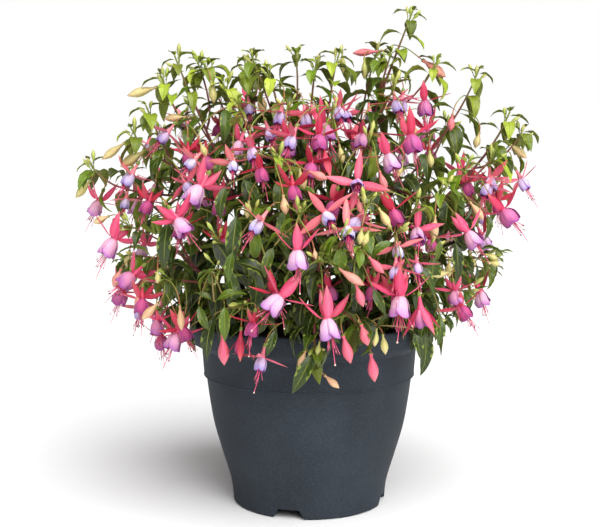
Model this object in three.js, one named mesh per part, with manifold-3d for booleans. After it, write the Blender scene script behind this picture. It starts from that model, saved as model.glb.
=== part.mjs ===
// Fuchsia in a patio pot. Millimetres, +Z up. The origin is on the pot's axis, at the level of its foot.
import * as THREE from "three";
import { mergeVertices } from "three/addons/utils/BufferGeometryUtils.js";
import loadManifold from "manifold-3d";

const wasm = await loadManifold();
wasm.setup();

// Driving dimensions of the pot
const gap = 0.3;
const potHeight = 180;
const potSides = 24;
const wall = 2.2;
const bodyOutline = [[75.8, 1.2], [78.4, 22], [86.6, 49], [94.8, 77], [99.4, 102], [102.7, 125.5]];
const bodySteps = 4;
const bandFoot = 127.3;
const bandRadius = 105.5;
const bandTopRadius = 107.2;
const rimUnderside = 155;
const rimSlant = 7;
const rimRadius = 119.5;
const lipWidth = 5.5;
const rimInnerRadius = 112;
const floorUnderside = 10;
const floorTop = 12.5;
const footRingWidth = 6;
const padHeight = 1.2;
const padAngles = [-18.5, 18.5, 45];
const padSpan = 11;
const notchHeight = 9.4;
const notchTop = 20.6;
const notchBottom = 32.4;
const notchTurn = -104.8;
const drainRadius = 5;
const drainRing = 48;
const drainSides = 6;

// Driving dimensions of the planting
const compostTop = 162;
const compostMound = 3;
const compostEdge = 160;
const rootDepth = 16;
const stemRadius = 3.3;
const forkRadius = 1.9;
const tipRadius = 0.9;
const holeRadius = 4.6;
const holeSides = 5;
const collarHeight = 5;
const viewDistance = 1104;
const viewHeight = 341;
const crownRadius = 228;
const crownMiddle = 268;
const crownAbove = 232;
const crownBelow = 180;
const crownEdge = 26;
const crownDepthShare = 0.87;

// Leafy stems: the root's place on the compost, then the tips, the first of them on the main stem.
// A tip, a bloom and a bud are given as they are seen from the front: across and up on the upright plane
// through the pot's axis, then the layer of the crown that they lie in, 1 at its front and -1 at its back.
const stems = [
  { root: [-54, 3], tips: [[-134, 452, 0], [-163, 395, 0.1], [-220, 340, 0]] },
  { root: [-26, 19], tips: [[-87, 420, 0.1], [-64, 438, -0.2], [-120, 400, -0.5]] },
  { root: [-15, -20], tips: [[-42, 432, 0.2], [-32, 346, 0.7], [-14, 448, -0.2]] },
  { root: [16, -18], tips: [[8, 440, 0.1], [69, 452, -0.2], [63, 370, 0.5]] },
  { root: [28, 17], tips: [[103, 488, 0.1], [169, 430, 0], [139, 316, 0.5]] },
  { root: [62, -9], tips: [[200, 388, 0.1], [188, 242, 0.1], [190, 320, -0.4]] },
  { root: [36, -58], tips: [[92, 273, 0.85], [51, 253, 0.95]] },
  { root: [3, -68], tips: [[13, 240, 1], [6, 142, 1.1], [56, 165, 1]] },
  { root: [-35, -58], tips: [[-97, 264, 0.8], [-70, 190, 0.9]] },
  { root: [-64, -30], tips: [[-181, 245, 0.2], [-152, 217, 0.5], [-150, 185, 0.3]] },
  { root: [64, -30], tips: [[168, 205, 0.2], [126, 170, 0.5]] },
  { root: [-60, 36], tips: [[-180, 330, -0.5], [-190, 240, -0.5], [-140, 180, -0.6]] },
  { root: [-28, 62], tips: [[-60, 380, -0.8], [-120, 260, -0.9], [-50, 170, -1]] },
  { root: [2, 70], tips: [[10, 400, -0.8], [-40, 270, -1], [50, 260, -1]] },
  { root: [32, 61], tips: [[80, 390, -0.8], [130, 260, -0.9], [60, 170, -1]] },
  { root: [61, 36], tips: [[140, 380, -0.5], [185, 230, -0.6], [140, 180, -0.6]] },
];

// Blooms: place of the collar where the sepals spread, lean to the right and nod to the front in degrees,
// how far the sepals open from the hanging axis, size against a full bloom, and the age that sets its colour
const blooms = [
  { at: [-141, 368, 0.15], lean: -38, nod: 5, open: 78, size: 0.95, age: "young" },
  { at: [-108, 315, 0.6], lean: -32, nod: 15, open: 88, size: 1.15, age: "lilac" },
  { at: [-124, 317, 0.45], lean: 30, nod: 20, open: 95, size: 0.8, age: "young" },
  { at: [-114, 341, 0.5], lean: -42, nod: 10, open: 82, size: 0.9, age: "pale" },
  { at: [-133, 282, 0.76], lean: 35, nod: 10, open: 92, size: 1, age: "lilac" },
  { at: [-76, 339, 0.6], lean: 2, nod: 15, open: 88, size: 0.85, age: "pale" },
  { at: [-68, 360, 0.4], lean: -20, nod: 0, open: 80, size: 0.85, age: "lilac" },
  { at: [-48, 280, 0.85], lean: -35, nod: 5, open: 96, size: 1, age: "pale" },
  { at: [-41, 371, 0.3], lean: 20, nod: 8, open: 86, size: 0.9, age: "young" },
  { at: [-22, 361, 0.45], lean: 4, nod: 5, open: 90, size: 0.95, age: "violet" },
  { at: [-16, 315, 0.8], lean: 10, nod: 12, open: 84, size: 0.9, age: "crimson" },
  { at: [-12, 251, 1], lean: 4, nod: 4, open: 100, size: 1, age: "lilac" },
  { at: [13, 377, 0.35], lean: 18, nod: 4, open: 92, size: 1.1, age: "violet" },
  { at: [36, 388, 0.15], lean: 18, nod: 30, open: 92, size: 0.85, age: "young" },
  { at: [53, 367, 0.3], lean: -6, nod: 10, open: 72, size: 0.85, age: "violet" },
  { at: [48, 317, 0.75], lean: -8, nod: 62, open: 94, size: 1, age: "young" },
  { at: [93, 400, 0.15], lean: -6, nod: 8, open: 84, size: 0.9, age: "young" },
  { at: [115, 400, 0.05], lean: 4, nod: 4, open: 88, size: 0.95, age: "violet" },
  { at: [101, 366, 0.35], lean: 12, nod: 6, open: 96, size: 1.1, age: "plum" },
  { at: [78, 347, 0.55], lean: 22, nod: 10, open: 90, size: 1, age: "lilac" },
  { at: [16, 287, 0.9], lean: 30, nod: 34, open: 96, size: 1, age: "pale" },
  { at: [50, 282, 0.8], lean: -36, nod: 14, open: 98, size: 1, age: "young" },
  { at: [83, 291, 0.75], lean: 25, nod: 8, open: 84, size: 0.95, age: "crimson" },
  { at: [108, 272, 0.7], lean: 0, nod: 40, open: 88, size: 0.9, age: "lilac" },
  { at: [181, 323, 0.2], lean: 2, nod: 6, open: 98, size: 1, age: "young" },
  { at: [211, 322, 0], lean: 26, nod: 4, open: 94, size: 0.95, age: "lilac" },
  { at: [193, 291, 0.45], lean: 40, nod: 5, open: 96, size: 1.05, age: "plum" },
  { at: [158, 269, 0.5], lean: 35, nod: 8, open: 92, size: 1, age: "lilac" },
  { at: [87, 233, 0.9], lean: -4, nod: 18, open: 92, size: 0.9, age: "young" },
  { at: [108, 237, 0.7], lean: 4, nod: 10, open: 84, size: 0.8, age: "lilac" },
  { at: [92, 205, 1], lean: -4, nod: 5, open: 92, size: 1.1, age: "lilac" },
  { at: [152, 194, 0.5], lean: 30, nod: 6, open: 80, size: 0.95, age: "crimson" },
  { at: [18, 182, 1], lean: 10, nod: 6, open: 97, size: 1.1, age: "lilac" },
  { at: [-27, 204, 1], lean: -42, nod: 8, open: 92, size: 1.05, age: "lilac" },
  { at: [-47, 142, 1], lean: -2, nod: 5, open: 100, size: 0.9, age: "young" },
  { at: [-195, 262, 0.3], lean: -28, nod: 6, open: 94, size: 1.15, age: "lilac" },
  { at: [-175, 226, 0.45], lean: -48, nod: 6, open: 92, size: 1.05, age: "violet" },
  { at: [-168, 202, 0.6], lean: -2, nod: 6, open: 84, size: 1, age: "crimson" },
  { at: [-153, 180, 0.5], lean: 4, nod: 10, open: 88, size: 0.9, age: "violet" },
  { at: [-132, 167, 0.7], lean: -22, nod: 8, open: 96, size: 1, age: "lilac" },
  { at: [-149, 164, 0.3], lean: 6, nod: 0, open: 82, size: 0.85, age: "plum" },
  { at: [146, 210, 0.5], lean: 10, nod: 0, open: 84, size: 0.8, age: "violet" },
];

// Blooms that are half open, or stand inside or behind the crown: each is one body with the stem it grows on
const innerBlooms = [
  { at: [-121, 350, 0.3], lean: 0, nod: 0, open: 80, size: 0.85, age: "crimson" },
  { at: [-49, 333, 0.75], lean: 12, nod: 0, open: 70, size: 0.85, age: "crimson" },
  { at: [2, 338, 0.5], lean: 0, nod: 8, open: 82, size: 0.9, age: "plum" },
  { at: [16, 345, 0.5], lean: 6, nod: 0, open: 24, size: 0.85, age: "crimson" },
  { at: [-69, 160, 0.95], lean: -4, nod: 0, open: 20, size: 0.8, age: "crimson" },
  { at: [112, 192, 0.85], lean: 6, nod: 0, open: 30, size: 1.05, age: "violet" },
  { at: [-183, 302, 0], lean: -10, nod: 0, open: 84, size: 0.85, age: "pale" },
  { at: [-187, 210, 0.1], lean: -20, nod: 0, open: 84, size: 0.95, age: "plum" },
  { at: [-170, 300, -0.6], lean: -20, nod: -10, open: 92, size: 1, age: "lilac" },
  { at: [-120, 350, -0.7], lean: -10, nod: -12, open: 90, size: 0.95, age: "young" },
  { at: [0, 370, -0.6], lean: -8, nod: -16, open: 88, size: 0.95, age: "lilac" },
  { at: [60, 330, -0.8], lean: 16, nod: -10, open: 92, size: 1.05, age: "lilac" },
  { at: [120, 350, -0.6], lean: 8, nod: -14, open: 90, size: 0.9, age: "plum" },
  { at: [170, 290, -0.6], lean: 20, nod: -10, open: 94, size: 1, age: "young" },
  { at: [-140, 230, -0.8], lean: -16, nod: -6, open: 90, size: 1.05, age: "lilac" },
  { at: [-70, 250, -1], lean: 6, nod: -14, open: 96, size: 1, age: "violet" },
  { at: [0, 230, -1], lean: -10, nod: -6, open: 92, size: 1.05, age: "young" },
  { at: [75, 240, -1], lean: 8, nod: -10, open: 94, size: 1, age: "lilac" },
  { at: [140, 210, -0.7], lean: 14, nod: -6, open: 88, size: 0.95, age: "crimson" },
  { at: [40, 170, -1], lean: 4, nod: -5, open: 94, size: 1, age: "plum" },
];

// Closed buds: place of the upper end, lean and nod, length and width
const buds = [
  { at: [-87, 160, 0.95], lean: 0, nod: 0, length: 24, width: 10.5 },
  { at: [65, 142, 1], lean: 2, nod: 0, length: 23, width: 10 },
  { at: [39, 158, 1], lean: 6, nod: 0, length: 20, width: 9 },
  { at: [80, 158, 1], lean: 10, nod: 0, length: 16, width: 8 },
  { at: [-162, 408, 0.1], lean: -84, nod: 0, length: 22, width: 7.5 },
  { at: [-198, 356, 0], lean: -30, nod: 0, length: 20, width: 8 },
  { at: [-176, 346, 0.1], lean: -50, nod: 0, length: 17, width: 7.5 },
  { at: [-132, 388, 0.1], lean: -80, nod: 0, length: 20, width: 7.5 },
  { at: [-220, 318, 0], lean: -44, nod: 0, length: 17, width: 7 },
  { at: [-104, 430, -0.1], lean: 28, nod: 0, length: 16, width: 7 },
  { at: [-95, 418, 0.1], lean: 16, nod: 0, length: 17, width: 7 },
  { at: [-49, 406, 0.1], lean: 10, nod: 0, length: 18, width: 8 },
  { at: [66, 446, -0.1], lean: -82, nod: 0, length: 22, width: 7.5 },
  { at: [118, 436, 0], lean: 56, nod: 0, length: 22, width: 9 },
  { at: [40, 430, 0], lean: 4, nod: 0, length: 20, width: 7.5 },
  { at: [164, 370, 0.1], lean: 34, nod: 0, length: 19, width: 8 },
  { at: [204, 354, 0], lean: 44, nod: 0, length: 20, width: 8 },
  { at: [70, 262, 1], lean: -12, nod: 0, length: 18, width: 7.5 },
  { at: [126, 280, 0.6], lean: 10, nod: 0, length: 18, width: 8 },
  { at: [43, 232, 1], lean: 6, nod: 0, length: 19, width: 8 },
  { at: [56, 215, 1], lean: -4, nod: 0, length: 20, width: 8.5 },
  { at: [66, 245, 0.95], lean: 10, nod: 0, length: 18, width: 8 },
  { at: [-18, 212, 1], lean: 12, nod: 0, length: 16, width: 7 },
  { at: [-130, 188, 0.7], lean: -8, nod: 0, length: 18, width: 8 },
  { at: [-190, 232, 0.2], lean: -20, nod: 0, length: 20, width: 8.5 },
  { at: [-206, 290, 0.1], lean: -20, nod: 0, length: 17, width: 7.5 },
  { at: [186, 248, 0.2], lean: 40, nod: 0, length: 16, width: 7 },
  { at: [-150, 360, -0.6], lean: -30, nod: -10, length: 19, width: 8 },
  { at: [-30, 390, -0.7], lean: 10, nod: -14, length: 20, width: 8 },
  { at: [100, 380, -0.7], lean: 20, nod: -10, length: 19, width: 8 },
  { at: [10, 300, -1], lean: 4, nod: -8, length: 20, width: 8.5 },
  { at: [-100, 290, -0.9], lean: -8, nod: -6, length: 21, width: 9 },
  { at: [160, 250, -0.7], lean: 14, nod: -6, length: 19, width: 8 },
];

// Parts of a bloom, measured down its hanging axis from the seat on its stalk
const bloom = {
  seatRadius: 1.1,
  ovaryLength: 5,
  ovaryRadius: 1.9,
  tubeLength: 14,
  collarRadius: 3.1,
  collarDepth: 1.5,
  sepalLength: 25,
  sepalWidth: 7.6,
  sepalMiddle: 0.46,
  sepalThickness: 1.1,
  sepalCurl: 16,
  bellyDrop: 9,
  bellyRadius: 7.4,
  rimDrop: 17,
  rimRadius: 8.8,
  petalLap: 0.13,
  fullFrom: 0.97,
  hubDrop: 7,
  hubRadius: 1.7,
  stamenDrop: 34,
  styleDrop: 43,
};

// Leaves and stalks
const leaf = {
  longest: 54,
  shortest: 18,
  onTwig: 26,
  variation: 6,
  breadth: 0.47,
  rib: 1.3,
  fold: 20,
  largeFrom: 42,
  pairShare: 0.1,
};
const nodeLength = 1.8;
const evenBends = [0.18, 0.34, 0.5, 0.66, 0.83];
const forkNodes = [0.27, 0.42];
const firstLeaf = { main: 0.36, side: 0.2 };
const lastNode = 0.95;
const nodeReach = 9;
const leafSpacing = 84;
const twigNodes = [0.5];
const stalkRadius = 0.85;
const twigRadius = 1.3;
const twigFrom = 56;
const shortStalk = 34;
const bloomJoin = 0.6;

const up = new THREE.Vector3(0, 0, 1);
const ageColours = {
  pale: "#e88fa6",
  young: "#d9688f",
  lilac: "#d65c86",
  violet: "#c04a86",
  plum: "#b23a6c",
  crimson: "#c8304f",
};

function material(colour, roughness) {
  return new THREE.MeshStandardMaterial({ color: colour, roughness, metalness: 0 });
}

// Repeatable random numbers from 0 to 1
function randomFrom(seed) {
  let state = seed * 7919 + 12345;
  return () => {
    state = (state * 16807) % 2147483647;
    return state / 2147483647;
  };
}

function radians(degrees) {
  return THREE.MathUtils.degToRad(degrees);
}

// A closed skin, built ring by ring. Rings turn the same way, and a band joins each to the next.
class Skin {
  constructor() {
    this.points = [];
    this.faces = [];
  }

  point(place) {
    return this.points.push(place) - 1;
  }

  ring(places) {
    return places.map((place) => this.point(place));
  }

  band(first, second) {
    const count = first.length;
    for (let i = 0; i < count; i += 1) {
      const j = (i + 1) % count;
      if (i % 2 === 0) {
        this.faces.push([first[i], first[j], second[j]], [first[i], second[j], second[i]]);
      } else {
        this.faces.push([first[i], first[j], second[i]], [first[j], second[j], second[i]]);
      }
    }
  }

  // A band that first turns the second ring, so that each corner meets its nearest
  meet(first, second) {
    const count = second.length;
    const reach = (shift) => first.reduce((sum, index, i) =>
      sum + this.points[index].distanceToSquared(this.points[second[(i + shift) % count]]), 0);
    const shifts = second.map((_, shift) => shift).sort((a, b) => reach(a) - reach(b));
    this.band(first, second.map((_, i) => second[(i + shifts[0]) % count]));
  }

  startCap(ring) {
    for (let i = 1; i < ring.length - 1; i += 1) this.faces.push([ring[0], ring[i + 1], ring[i]]);
  }

  endCap(ring) {
    for (let i = 1; i < ring.length - 1; i += 1) this.faces.push([ring[0], ring[i], ring[i + 1]]);
  }

  tip(ring, place) {
    const end = this.point(place);
    ring.forEach((index, i) => this.faces.push([index, ring[(i + 1) % ring.length], end]));
  }

  // Joins a ring to one that has twice as many points
  widen(narrow, wide) {
    const count = narrow.length;
    for (let k = 0; k < count; k += 1) {
      const next = (k + 1) % count;
      const inner = wide[2 * k + 1];
      const outer = wide[(2 * k + 2) % wide.length];
      this.faces.push([narrow[k], inner, wide[2 * k]]);
      this.faces.push([narrow[k], narrow[next], outer], [narrow[k], outer, inner]);
    }
  }

  // Joins a ring to one that has half as many points
  narrow(wide, narrow) {
    const count = narrow.length;
    for (let k = 0; k < count; k += 1) {
      const next = (k + 1) % count;
      const inner = wide[2 * k + 1];
      const outer = wide[(2 * k + 2) % wide.length];
      this.faces.push([wide[2 * k], inner, narrow[k]]);
      this.faces.push([inner, outer, narrow[next]], [inner, narrow[next], narrow[k]]);
    }
  }

  geometry() {
    const shape = new THREE.BufferGeometry().setFromPoints(this.points);
    shape.setIndex(this.faces.flat());
    return shape;
  }
}

// Boolean joins and cuts work on closed solids with shared vertices
function solidOf(geometry) {
  const bare = geometry.clone();
  bare.deleteAttribute("normal");
  bare.deleteAttribute("uv");
  const merged = mergeVertices(bare, 1e-4);
  return new wasm.Manifold(
    new wasm.Mesh({
      numProp: 3,
      vertProperties: new Float32Array(merged.attributes.position.array),
      triVerts: new Uint32Array(merged.index.array),
    }),
  );
}

function geometryOf(solid) {
  const mesh = solid.getMesh();
  const geometry = new THREE.BufferGeometry();
  geometry.setAttribute("position", new THREE.BufferAttribute(mesh.vertProperties, 3));
  geometry.setIndex(new THREE.BufferAttribute(mesh.triVerts, 1));
  return geometry;
}

// Everything placed so far, each as a body of its own that later pieces are tested against
const placed = [];

function keep(solid, owner) {
  placed.push({ solid, owner, box: solid.boundingBox() });
}

function isClear(solid, parent = null) {
  const box = solid.boundingBox();
  return placed.every((other) => {
    if (other.owner === parent) return true;
    for (let axis = 0; axis < 3; axis += 1) {
      if (other.box.min[axis] > box.max[axis] || other.box.max[axis] < box.min[axis]) return true;
    }
    return solid.intersect(other.solid).isEmpty();
  });
}

// Half the crown's depth behind a place seen from the front
function crownDepth(across, height) {
  const span = height < crownMiddle ? crownBelow : crownAbove;
  const rise = (height - crownMiddle) / span;
  const reach = crownRadius * crownRadius * (1 - rise * rise) - across * across;
  return crownDepthShare * Math.sqrt(Math.max(reach, crownEdge * crownEdge));
}

// A place seen from the front, moved along the line of sight into its layer of the crown
function place([across, height, layer]) {
  const depth = layer * crownDepth(across, height);
  const near = (viewDistance - depth) / viewDistance;
  return new THREE.Vector3(across * near, -depth, viewHeight + (height - viewHeight) * near);
}

function hangingDirection({ lean, nod }) {
  return new THREE.Vector3(Math.tan(radians(lean)), -Math.tan(radians(nod)), -1).normalize();
}

// Shoots rise from the compost, lean outwards, and droop where they end low
function endDirection(end) {
  const rise = THREE.MathUtils.clamp((end.z - 240) / 90, -0.9, 1);
  const outward = new THREE.Vector3(end.x, end.y, 0).normalize();
  return outward.multiplyScalar(1 - 0.62 * Math.max(rise, 0)).addScaledVector(up, rise).normalize();
}

// The level direction that is square to the way from one place to another
function sideOf(start, end) {
  const side = new THREE.Vector3(start.y - end.y, end.x - start.x, 0);
  return side.lengthSq() < 1e-3 ? new THREE.Vector3(1, 0, 0) : side.normalize();
}

function mainShoot(root, end) {
  const start = new THREE.Vector3(root[0], root[1], compostTop + collarHeight);
  const length = start.distanceTo(end);
  const rising = start.clone().addScaledVector(up, 0.42 * length);
  const arriving = end.clone().addScaledVector(endDirection(end), -0.36 * length);
  return new THREE.CubicBezierCurve3(start, rising, arriving, end);
}

function sideShoot(main, t, facing, end) {
  const start = main.getPoint(t);
  const length = start.distanceTo(end);
  const leaving = start.clone().addScaledVector(main.getTangent(t), 0.2 * length)
    .addScaledVector(facing, 0.22 * length);
  const arriving = end.clone().addScaledVector(endDirection(end), -0.34 * length);
  return new THREE.CubicBezierCurve3(start, leaving, arriving, end);
}

// Two directions square to a line: the first leans to the given side, and the three are right-handed
function crossAxes(direction, side) {
  const first = side.clone().addScaledVector(direction, -side.dot(direction)).normalize();
  return [first, new THREE.Vector3().crossVectors(direction, first)];
}

function spokeAt([first, second], angle) {
  return first.clone().multiplyScalar(Math.cos(angle)).addScaledVector(second, Math.sin(angle));
}

// Four corners round a centre, so that facet k between corners k and k + 1 faces the angle of k quarter turns
function squareAt(centre, direction, side, radius) {
  const axes = crossAxes(direction, side);
  return [0, 1, 2, 3].map((k) =>
    centre.clone().addScaledVector(spokeAt(axes, ((k - 0.5) * Math.PI) / 2), radius));
}

// A four-sided tapering tube on its own, as a test body for a shoot or, with the same bends, for a stalk
function plainTube({ curve, side, from, to, nodes, bends = evenBends }, startAt, grow = 0) {
  const stops = [...nodes, ...bends].filter((t) => t > startAt + 0.02).sort((a, b) => a - b);
  const skin = new Skin();
  let last = null;
  for (const t of [startAt, ...stops, 1]) {
    const radius = from + (to - from) * t + grow;
    const ring = skin.ring(squareAt(curve.getPoint(t), curve.getTangent(t), side, radius));
    if (last) skin.band(last, ring);
    else skin.startCap(ring);
    last = ring;
  }
  skin.endCap(last);
  return skin.geometry();
}

// A shoot or stalk along a curve. At each node two rings lie close together, and a leaf, stalk or
// side shoot can grow out of any of the four facets between them, as part of the same skin.
class Branch {
  constructor({ curve, side, from, to, nodes, bends = [], peg = 0 }) {
    Object.assign(this, { curve, side, from, to, bends, peg });
    this.nodes = [...nodes];
    this.children = nodes.map(() => [null, null, null, null]);
    this.end = null;
  }

  radiusAt(t) {
    return this.from + (this.to - this.from) * t;
  }

  facetDirection(t, facet) {
    return spokeAt(crossAxes(this.curve.getTangent(t), this.side), (facet * Math.PI) / 2);
  }

  facetTowards(t, direction) {
    const facing = [0, 1, 2, 3].map((facet) => this.facetDirection(t, facet).dot(direction));
    return facing.indexOf(Math.max(...facing));
  }

  addNode(t) {
    this.children.push([null, null, null, null]);
    return this.nodes.push(t) - 1;
  }

  // The free facet that faces a direction best, or -1
  freeFacet(node, direction) {
    let best = -1;
    let most = -0.2;
    for (let facet = 0; facet < 4; facet += 1) {
      const facing = this.facetDirection(this.nodes[node], facet).dot(direction);
      if (!this.children[node][facet] && facing > most) {
        best = facet;
        most = facing;
      }
    }
    return best;
  }

  weave(skin, base) {
    const ringAt = (t, along) => {
      const tangent = this.curve.getTangent(t);
      const centre = this.curve.getPoint(t).addScaledVector(tangent, along);
      return skin.ring(squareAt(centre, tangent, this.side, this.radiusAt(t)));
    };
    let last = base;
    if (!base) {
      const foot = ringAt(0, -this.peg);
      skin.startCap(foot);
      last = ringAt(0, 0);
      skin.band(foot, last);
    }
    const stops = [...this.nodes, ...this.bends].sort((a, b) => a - b);
    for (const t of stops) {
      const node = this.nodes.indexOf(t);
      if (node < 0 || this.children[node].every((child) => !child)) {
        const bend = ringAt(t, 0);
        skin.meet(last, bend);
        last = bend;
        continue;
      }
      const half = nodeLength / 2 + 0.12 * this.radiusAt(t);
      const lower = ringAt(t, -half);
      const upper = ringAt(t, half);
      skin.meet(last, lower);
      for (let facet = 0; facet < 4; facet += 1) {
        const next = (facet + 1) % 4;
        const opening = [lower[facet], lower[next], upper[next], upper[facet]];
        const child = this.children[node][facet];
        if (child) child.weave(skin, opening);
        else skin.endCap(opening);
      }
      last = upper;
    }
    if (this.end === flatEnd) {
      const seat = ringAt(1, 0);
      skin.meet(last, seat);
      last = seat;
    }
    if (this.end) this.end.weave(skin, last);
    else skin.tip(last, this.curve.getPoint(1));
  }
}

// A leaf that arches down from its stalk: a chevron section, deepest along the rib and fine at the edges
class Leaf {
  constructor({ foot, forward, lift, length, droop }) {
    Object.assign(this, { foot, forward, lift, length, droop });
    this.side = new THREE.Vector3().crossVectors(forward, lift).normalize();
  }

  centreAt(share) {
    const turn = this.droop * share;
    const along = (this.length * Math.sin(turn)) / this.droop;
    const fall = (this.length * (1 - Math.cos(turn))) / this.droop;
    return this.foot.clone().addScaledVector(this.forward, along).addScaledVector(this.lift, -fall);
  }

  sectionAt(share, grow) {
    const turn = this.droop * share;
    const centre = this.centreAt(share);
    const normal = this.lift.clone().multiplyScalar(Math.cos(turn))
      .addScaledVector(this.forward, Math.sin(turn));
    const half = (this.length * leaf.breadth * Math.sin(Math.PI * share ** 0.86) ** 0.8) / 2 + grow;
    const rise = half * Math.sin(radians(leaf.fold));
    const reach = half * Math.cos(radians(leaf.fold));
    const rib = leaf.rib / 2 + grow;
    return [
      centre.clone().addScaledVector(normal, rib),
      centre.clone().addScaledVector(this.side, reach).addScaledVector(normal, rise),
      centre.clone().addScaledVector(normal, -rib),
      centre.clone().addScaledVector(this.side, -reach).addScaledVector(normal, rise),
    ];
  }

  weave(skin, base, grow = 0) {
    const shares = this.length > leaf.largeFrom ? [0.3, 0.64] : [0.44];
    let last = base;
    if (!base) {
      last = skin.ring(this.sectionAt(0.07, grow));
      skin.startCap(last);
    }
    shares.forEach((share, index) => {
      const ring = skin.ring(this.sectionAt(share, grow));
      if (index === 0 && base) skin.meet(last, ring);
      else skin.band(last, ring);
      last = ring;
    });
    skin.tip(last, this.centreAt(1));
  }
}

// One bloom hanging down its own axis: ovary, tube, four sepals, a bell of four petals, stamens and style
class Bloom {
  constructor({ seat, hanging, turn, open, size }) {
    Object.assign(this, { seat, hanging, turn, open, size });
    this.basis = new THREE.Quaternion().setFromUnitVectors(up, hanging);
    this.basis.multiply(new THREE.Quaternion().setFromAxisAngle(up, turn));
  }

  spot(x, y, drop) {
    return new THREE.Vector3(x, y, drop).multiplyScalar(this.size).applyQuaternion(this.basis).add(this.seat);
  }

  square(radius, drop) {
    return [0, 1, 2, 3].map((k) => this.spot(...polar(radius, (k * Math.PI) / 2), drop));
  }

  // Two points for each of the four parts of the flower, spread either side of its middle
  eight(radius, drop, spread, lap = 0, dip = 0) {
    return Array.from({ length: 8 }, (_, i) => {
      const sign = i % 2 === 0 ? 1 : -1;
      const angle = (Math.floor(i / 2) * Math.PI) / 2 - sign * spread;
      return this.spot(...polar(radius * (1 + sign * lap), angle), drop + sign * dip);
    });
  }

  weave(skin, base, grow = 0) {
    const seatRing = skin.ring(this.square(bloom.seatRadius, 0));
    const ovary = skin.ring(this.square(bloom.ovaryRadius + grow, bloom.ovaryLength * 0.6));
    const start = bloom.tubeLength + bloom.collarDepth;
    const upper = skin.ring(this.eight(bloom.collarRadius + grow, bloom.tubeLength, 0.42));
    const lower = skin.ring(this.eight(bloom.collarRadius + grow, start, 0.42));
    if (base) skin.meet(base, seatRing);
    else skin.startCap(seatRing);
    skin.band(seatRing, ovary);
    skin.widen(ovary, upper);
    for (let k = 0; k < 4; k += 1) {
      this.weaveSepal(skin, k, [upper[2 * k], upper[2 * k + 1], lower[2 * k + 1], lower[2 * k]], grow);
      const next = (2 * k + 2) % 8;
      skin.endCap([upper[2 * k + 1], upper[next], lower[next], lower[2 * k + 1]]);
    }
    const end = start + bloom.rimDrop;
    const rim = skin.ring(this.eight(bloom.rimRadius + grow, end, 0.66, bloom.petalLap, 1.4));
    const hub = skin.ring(this.square(bloom.hubRadius, start + bloom.hubDrop));
    if (base || this.size < bloom.fullFrom) {
      skin.band(lower, rim);
    } else {
      const drop = start + bloom.bellyDrop;
      const belly = skin.ring(this.eight(bloom.bellyRadius + grow, drop, 0.6, bloom.petalLap, 0.6));
      skin.band(lower, belly);
      skin.band(belly, rim);
    }
    skin.narrow(rim, hub);
    this.weaveStamens(skin, hub, start);
  }

  // A sepal springs from its part of the collar, is broadest near its middle and curls up to a point
  weaveSepal(skin, k, root, grow) {
    const angle = (k * Math.PI) / 2;
    const open = radians(this.open);
    const curled = open + radians(bloom.sepalCurl);
    const middle = bloom.sepalLength * bloom.sepalMiddle;
    const rest = bloom.sepalLength - middle;
    const radial = bloom.collarRadius + middle * Math.sin(open);
    const drop = bloom.tubeLength + bloom.collarDepth / 2 + middle * Math.cos(open);
    const thick = bloom.sepalThickness / 2 + grow;
    const half = bloom.sepalWidth / 2 + grow;
    const at = (out, down, across) => {
      const [x, y] = polar(out, angle);
      const [sideX, sideY] = polar(across, angle + Math.PI / 2);
      return this.spot(x + sideX, y + sideY, down);
    };
    const ring = skin.ring([
      at(radial + thick * Math.cos(open), drop - thick * Math.sin(open), 0),
      at(radial, drop, half),
      at(radial - thick * Math.cos(open), drop + thick * Math.sin(open), 0),
      at(radial, drop, -half),
    ]);
    for (let i = 0; i < 4; i += 1) {
      const j = (i + 1) % 4;
      skin.faces.push([root[i], root[j], ring[i]], [root[j], ring[j], ring[i]]);
    }
    skin.tip(ring, at(radial + rest * Math.sin(curled), drop + rest * Math.cos(curled), 0));
  }

  // Three stamens and the longer style stand out of the heart of the bell
  weaveStamens(skin, hub, start) {
    const heart = skin.point(this.spot(0, 0, start + bloom.hubDrop - 0.5));
    for (let k = 0; k < 4; k += 1) {
      const reach = k === 0 ? bloom.styleDrop : bloom.stamenDrop - 2.5 * k;
      const place = this.spot(...polar(k === 0 ? 0.6 : 3.4, (k * Math.PI) / 2 + 0.7), start + reach);
      const end = skin.point(place);
      const next = hub[(k + 1) % 4];
      skin.faces.push([hub[k], next, end], [next, heart, end], [heart, hub[k], end]);
    }
  }
}

// A closed bud, broadest below its middle
class Bud {
  constructor({ top, hanging, length, width }) {
    Object.assign(this, { top, hanging, length, width });
    this.side = sideOf(top, top.clone().addScaledVector(hanging, 10));
  }

  weave(skin, base, grow = 0) {
    const ringAt = (share, radius) => {
      const centre = this.top.clone().addScaledVector(this.hanging, share * this.length);
      return skin.ring(squareAt(centre, this.hanging, this.side, radius + grow));
    };
    const neck = ringAt(0.26, this.width * 0.36);
    const belly = ringAt(0.64, this.width * 0.56);
    if (base) {
      skin.meet(base, neck);
    } else {
      const head = ringAt(0, stalkRadius);
      skin.startCap(head);
      skin.band(head, neck);
    }
    skin.band(neck, belly);
    skin.tip(belly, this.top.clone().addScaledVector(this.hanging, this.length + grow));
  }
}

function polar(radius, angle) {
  return [radius * Math.cos(angle), radius * Math.sin(angle)];
}

// A piece as a body of its own
function bodyOf(piece, grow = 0) {
  const skin = new Skin();
  piece.weave(skin, null, grow);
  return solidOf(skin.geometry());
}

function lathe(outline, sides) {
  return new THREE.LatheGeometry(outline.map(([radius, height]) => new THREE.Vector2(radius, height)), sides)
    .rotateX(Math.PI / 2);
}

// The outside of the pot's body, from the foot to the step under the band
const body = new THREE.SplineCurve(bodyOutline.map(([radius, height]) => new THREE.Vector2(radius, height)))
  .getPoints(bodySteps).map((point) => [point.x, point.y]);

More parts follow.
